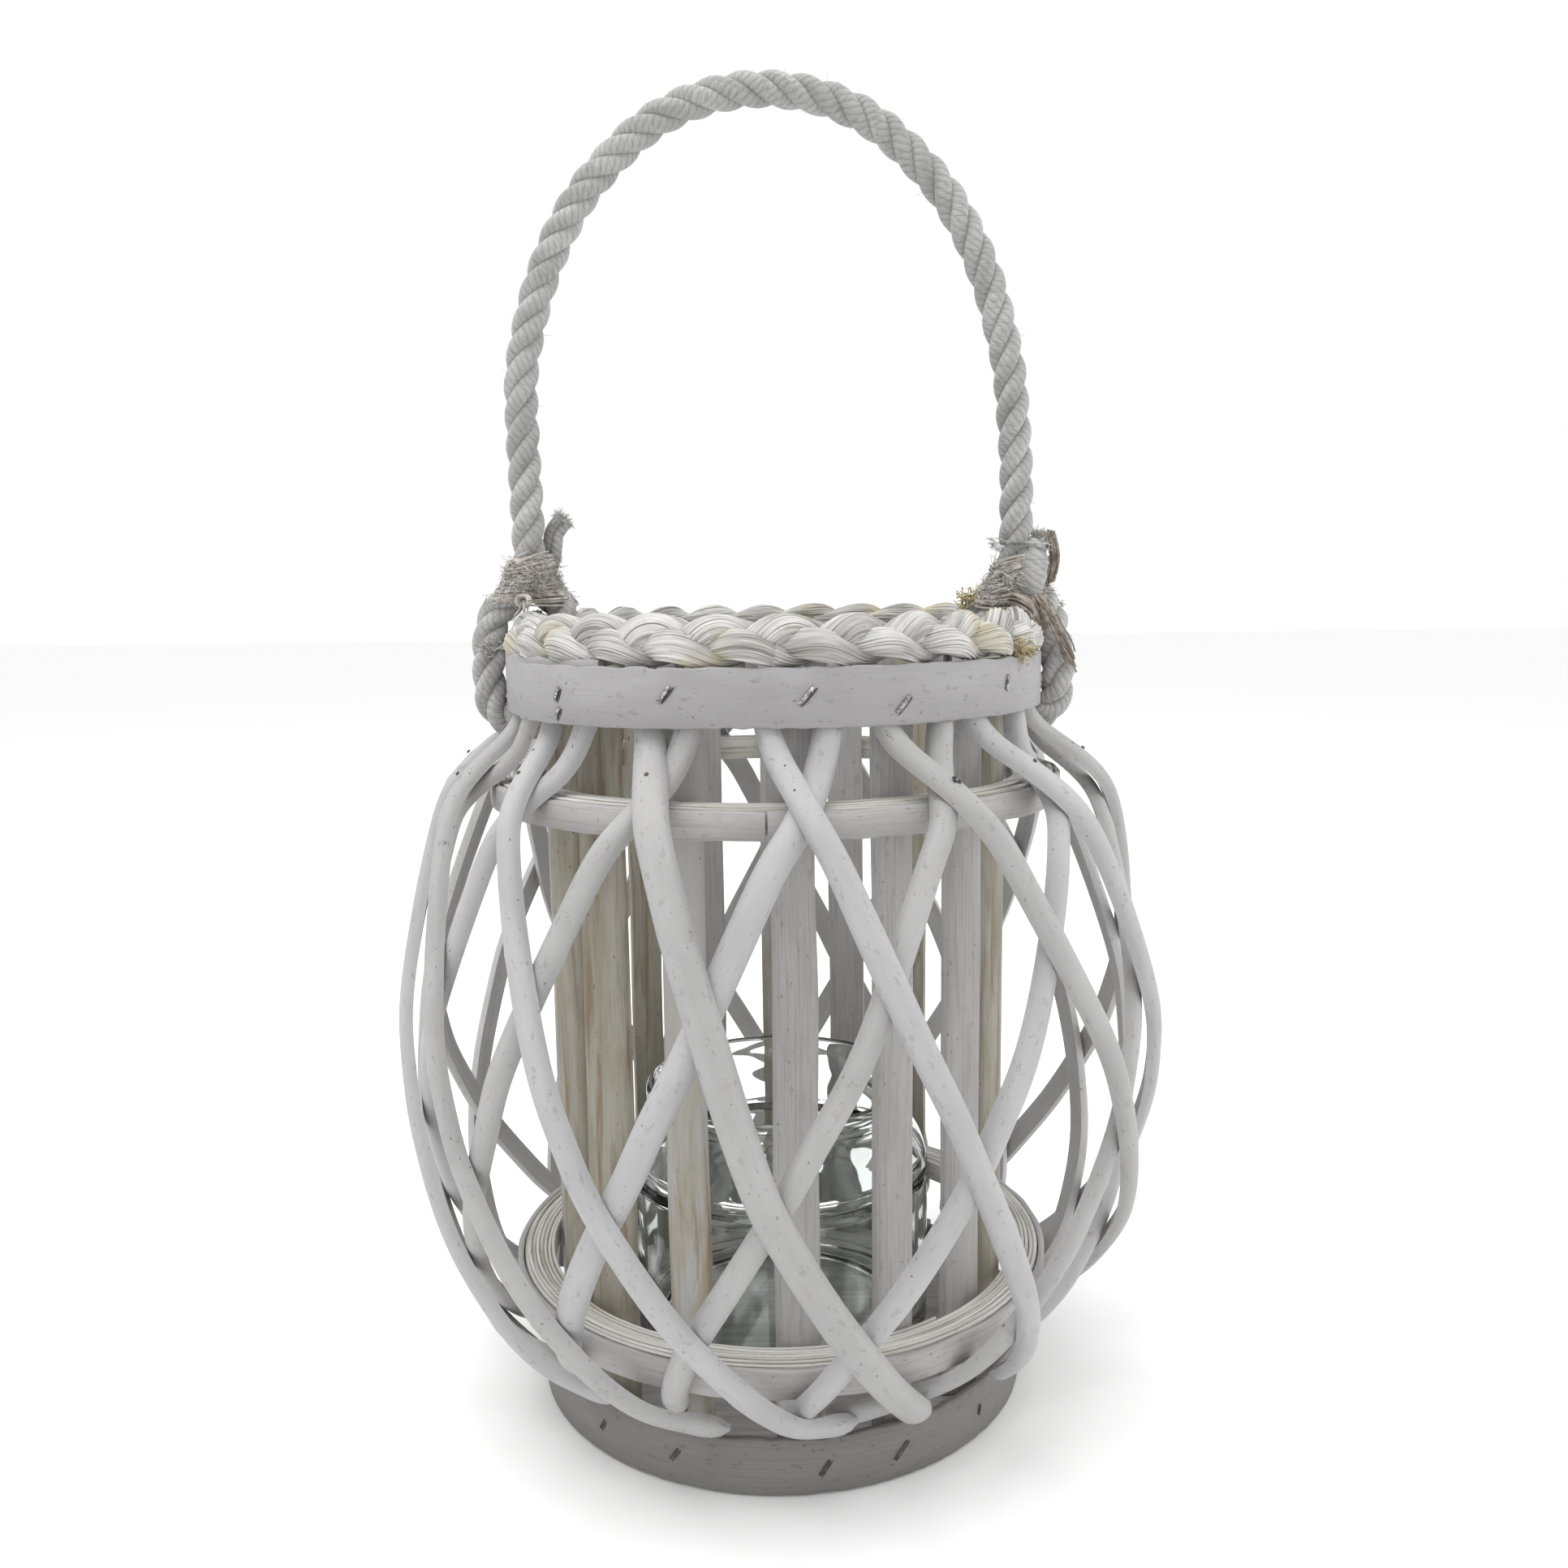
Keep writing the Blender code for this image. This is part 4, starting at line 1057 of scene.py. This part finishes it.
def frayed_strip(frayed, rng):
    """A bundle of fibres that hangs from the right lashing, and a shorter dry one that stands behind it."""
    skin = Skin()
    hanging = catmull_rom(HANGING_FIBRE, 10)
    for number in range(44):
        start = rng.integers(0, 12)
        wobble = np.cumsum(rng.normal(0, 0.09, hanging.shape), axis=0) + rng.normal(0, 0.95, 3)
        skin.tube(round_tube((hanging + wobble)[start:], 0.28, 5), seed=number)
    dry = catmull_rom(DRY_FIBRE, 10)
    for number in range(22):
        wobble = np.cumsum(rng.normal(0, 0.07, dry.shape), axis=0) + rng.normal(0, 0.7, 3)
        skin.tube(round_tube(dry + wobble, 0.3, 5), seed=number)
    return skin.build("frayed_strip", frayed, sharp=60.0)


def clear_tape(film, rng):
    """Five creased wisps of tape round the rope's right end."""
    skin = Skin()
    x, y, z = TAPE_CENTRE
    for number in range(5):
        angle = np.linspace(-2.6, 0.9, 30)
        lift = 5.6 + 0.5 * number + wander(rng, 30, 4, 0.35)
        height = z + 0.8 * number - 1.2 * np.sin(angle) + wander(rng, 30, 4, 0.6)
        path = stacked(x + (lift + 2.6) * np.sin(angle), y - lift * np.cos(angle) * 1.25, height)
        skin.tube(ribbon_rows(path, 0.9 + 0.4 * wander(rng, 30, 5, 0.5), 0.12, 0.6), seed=number)
    return skin.build("clear_tape", film, sharp=30.0)


def build_right_trimmings(straw, frayed, film):
    """What is caught in the right lashing besides the rope."""
    rng = np.random.default_rng(62)
    pieces = ((straw_strand(straw, frayed, rng), "straw"), (frayed_strip(frayed, rng), "twine"),
              (clear_tape(film, rng), "twine"))
    for piece, slot in pieces:
        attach(piece, BODY)


def build_right_bulge(rope, fluff):
    """The right end's unlaid strands, spread as one smooth swelling over the rope above its lashing."""
    rng = np.random.default_rng(63)
    path = catmull_rom(SWELLING, 8)
    _, across, up = carried_frames(path, (0.0, 1.0, 0.0))
    angle = np.linspace(0, 2 * np.pi, SWELLING_CORNERS, endpoint=False)
    stations = len(path)
    swell = np.interp(np.linspace(0, 1, stations), (0, 0.3, 0.6, 0.9, 1), (0.85, 1.0, 1.02, 0.86, 0.55))
    ridged = 1.0 + 0.035 * np.sin(6 * angle + 1.0) + rng.normal(0, 0.008, SWELLING_CORNERS)
    reach = swell[:, None] * ridged[None, :] + wander(rng, stations, 6, 0.02)[:, None]
    rows = path[:, None, :] + (SWELLING_HALF[0] * np.cos(angle) * reach)[..., None] * across[:, None, :]
    rows = rows + (SWELLING_HALF[1] * np.sin(angle) * reach)[..., None] * up[:, None, :]
    skin = Skin()
    skin.tube(rows, seed=1.7)
    top = rows[-2:].mean(axis=(0, 1))
    spots = top + rng.normal(0, 1.0, (150, 3)) * (2.6, 2.2, 0.5)
    short_fibres(skin, spots, unit(rng.normal(0, 0.7, (150, 3)) + (0.2, -0.3, 0.5)), rng, 1.8, 0.2, slot=1)
    bulge = skin.build("rope_end_swelling", rope, fluff, sharp=80.0)
    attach(bulge, BODY)


def build_rope_ends(rope, twine, fluff):
    build_lashing("twine_left", -1, "whipping_left", twine, fluff)
    build_lashing("twine_right", 1, "whipping_right", twine, fluff)
    build_right_bulge(rope, fluff)
    build_tail("rope_end_left", -1, TAIL_INSIDE, "rope_tail_left", rope, fluff)
    build_tail("rope_end_right", 1, TAIL_OUTSIDE, "rope_tail_right", rope, fluff)
    build_cut_strand(fluff)


# ---------------------------------------------------------------- jar and board

def build_jar(material):
    """The jar, its profile turned about the axis and closed at both ends of the profile."""
    smooth = catmull_rom(JAR_PROFILE, 3)
    smooth[:, 0] = np.clip(smooth[:, 0], 0.0, JAR_RADIUS)
    turned = np.linspace(0, 360, JAR_TURNS, endpoint=False)
    inner = smooth[1:-1]
    rows = [around(inner[:, 0], azimuth, inner[:, 1] + JAR_BASE) for azimuth in turned]
    points = np.concatenate([np.stack(rows).reshape(-1, 3), [[0, 0, smooth[0, 1] + JAR_BASE]],
                             [[0, 0, smooth[-1, 1] + JAR_BASE]]])
    count = len(inner)
    faces = []
    for i in range(JAR_TURNS):
        here, following = i * count, ((i + 1) % JAR_TURNS) * count
        for j in range(count - 1):
            faces.append((here + j, here + j + 1, following + j + 1, following + j))
        faces.append((here, following, len(points) - 2))
        faces.append((here + count - 1, len(points) - 1, following + count - 1))
    mesh = bpy.data.meshes.new("jar_glass")
    mesh.from_pydata((points * MM).tolist(), [], faces)
    mesh.materials.append(material)
    mesh.shade_smooth()
    jar = bpy.data.objects.new("jar_glass", mesh)
    bpy.context.scene.collection.objects.link(jar)
    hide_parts("glass_jar")
    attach(jar, "jar")


def finish_board(material):
    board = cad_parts["base_board"]
    board.data.materials.clear()
    board.data.materials.append(material)


def board_paint():
    paint = Paint("painted_board", 0.7)
    grain = paint.mapped(paint.place(), (0.03, 0.55, 0.2))
    fibre = paint.noise(grain, 5.0, 0.6, 0.2)
    wear = paint.noise(paint.place(0.05, 9.0), 4.0)
    colour = paint.blend(paint.between(fibre, 0.35, 0.65), (0.27, 0.26, 0.25), (0.38, 0.37, 0.36))
    colour = paint.blend(paint.between(wear, 0.60, 0.75, 0.0, 0.5), colour, (0.50, 0.44, 0.34))
    paint.colour(colour)
    paint.bump(fibre, 0.12, 0.6)
    return paint.material


# ---------------------------------------------------------------- studio

def build_camera():
    data = bpy.data.cameras.new("photo_camera")
    data.sensor_fit = "HORIZONTAL"
    data.sensor_width = CAMERA_SENSOR
    data.lens = CAMERA_LENS
    data.clip_start = 0.01
    camera = bpy.data.objects.new("photo_camera", data)
    down = Matrix.Rotation(math.radians(90.0 - CAMERA_DOWN), 4, "X")
    roll = Matrix.Rotation(math.radians(CAMERA_ROLL), 4, "Z")
    camera.matrix_world = Matrix.Translation(CAMERA_PLACE_M) @ (down @ roll)
    bpy.context.scene.collection.objects.link(camera)
    bpy.context.scene.camera = camera


def area_light(name, place_m, aim_m, size_m, watts):
    data = bpy.data.lights.new(name, "AREA")
    data.shape = "RECTANGLE"
    data.size, data.size_y = size_m
    data.energy = watts
    light = bpy.data.objects.new(name, data)
    way = Matrix.Translation(place_m).translation - Matrix.Translation(aim_m).translation
    light.rotation_euler = way.to_track_quat("Z", "Y").to_euler()
    light.location = place_m
    bpy.context.scene.collection.objects.link(light)


def build_studio(floor_material):
    scene = bpy.context.scene
    scene.view_settings.view_transform = "Standard"
    world = bpy.data.worlds.new("studio")
    world.use_nodes = True
    world.node_tree.nodes["Background"].inputs["Color"].default_value = (1.0, 1.0, 1.0, 1.0)
    world.node_tree.nodes["Background"].inputs["Strength"].default_value = 1.0
    scene.world = world
    area_light("top_soft", (-0.35, -0.15, 1.35), (0, 0, 0.15), (1.1, 1.1), 11.0)
    area_light("right_fill", (1.2, 0.1, 0.6), (0, 0, 0.2), (0.8, 0.8), 4.0)
    mesh = bpy.data.meshes.new("floor")
    signs = ((-1, -1), (1, -1), (1, 1), (-1, 1))
    corners = [(FLOOR_HALF_M * x, FLOOR_HALF_M * y, FLOOR_HEIGHT_M) for x, y in signs]
    mesh.from_pydata(corners, [], [(0, 1, 2, 3)])
    mesh.materials.append(floor_material)
    floor = bpy.data.objects.new("floor", mesh)
    scene.collection.objects.link(floor)


# ---------------------------------------------------------------- the scene

def main():
    build_camera()
    willow = [
        whitewash("willow_white", (0.445, 0.440, 0.446), (0.34, 0.30, 0.23), 0.08, 0.03, 0.8, 0.7),
        whitewash("willow_grey", (0.405, 0.400, 0.400), (0.32, 0.29, 0.24), 0.14, 0.05, 0.9, 0.7),
    ]
    slat_white = whitewash("slat_white", (0.43, 0.422, 0.42), (0.33, 0.29, 0.23), 0.20, 0.34, 0.8)
    slat_brown = worn_slat("slat_brown", (0.38, 0.365, 0.31), (0.31, 0.285, 0.22), (0.19, 0.125, 0.06))
    half_painted = worn_slat("slat_half_painted", (0.44, 0.435, 0.42), (0.36, 0.32, 0.24),
                             (0.22, 0.145, 0.075), 118.0)
    band = whitewash("band_white", (0.345, 0.338, 0.342), (0.27, 0.24, 0.20), 0.06, 0.10, 0.7, 0.35)
    # The foot band's whitewash is drawn much darker than the top band's: painted shade, for the band sitting
    # low under the belly.
    foot = whitewash("band_foot_painted_shade", (0.20, 0.195, 0.189), (0.15, 0.14, 0.125), 0.12, 0.2, 0.8, 0.35)
    strip = whitewash("hoop_white", (0.42, 0.415, 0.41), (0.32, 0.28, 0.22), 0.16, 0.25, 0.8)
    rope = rope_cotton()
    twine = fibre_stuff("jute_twine", (0.60, 0.565, 0.52), (0.34, 0.31, 0.275))
    fluff = fibre_stuff("cotton_fluff", (0.62, 0.60, 0.575), (0.36, 0.34, 0.315))
    straw = fibre_stuff("dry_straw", (0.62, 0.55, 0.33), (0.36, 0.29, 0.16))
    frayed = fibre_stuff("dry_fibre", (0.42, 0.38, 0.33), (0.19, 0.155, 0.12))
    build_canes(willow)
    build_slats(slat_white, slat_brown, half_painted)
    build_bands(band, foot)
    build_hoops(strip, edge_splints("splint_cream"))
    # Dark colour for the nail heads and the foot staples, and for the painted shade beside the staples.
    dark = fibre_stuff("dark_nail_staple_and_shade", (0.13, 0.12, 0.11), (0.05, 0.045, 0.04))
    build_staples(staple_metal(), dark)
    build_nail_marks(dark)
    build_rim(straw_paint())
    build_rope(rope)
    build_rope_ends(rope, twine, fluff)
    build_right_trimmings(straw, frayed, clear_film())
    build_jar(bottle_glass())
    finish_board(board_paint())
    build_studio(studio_white())


main()
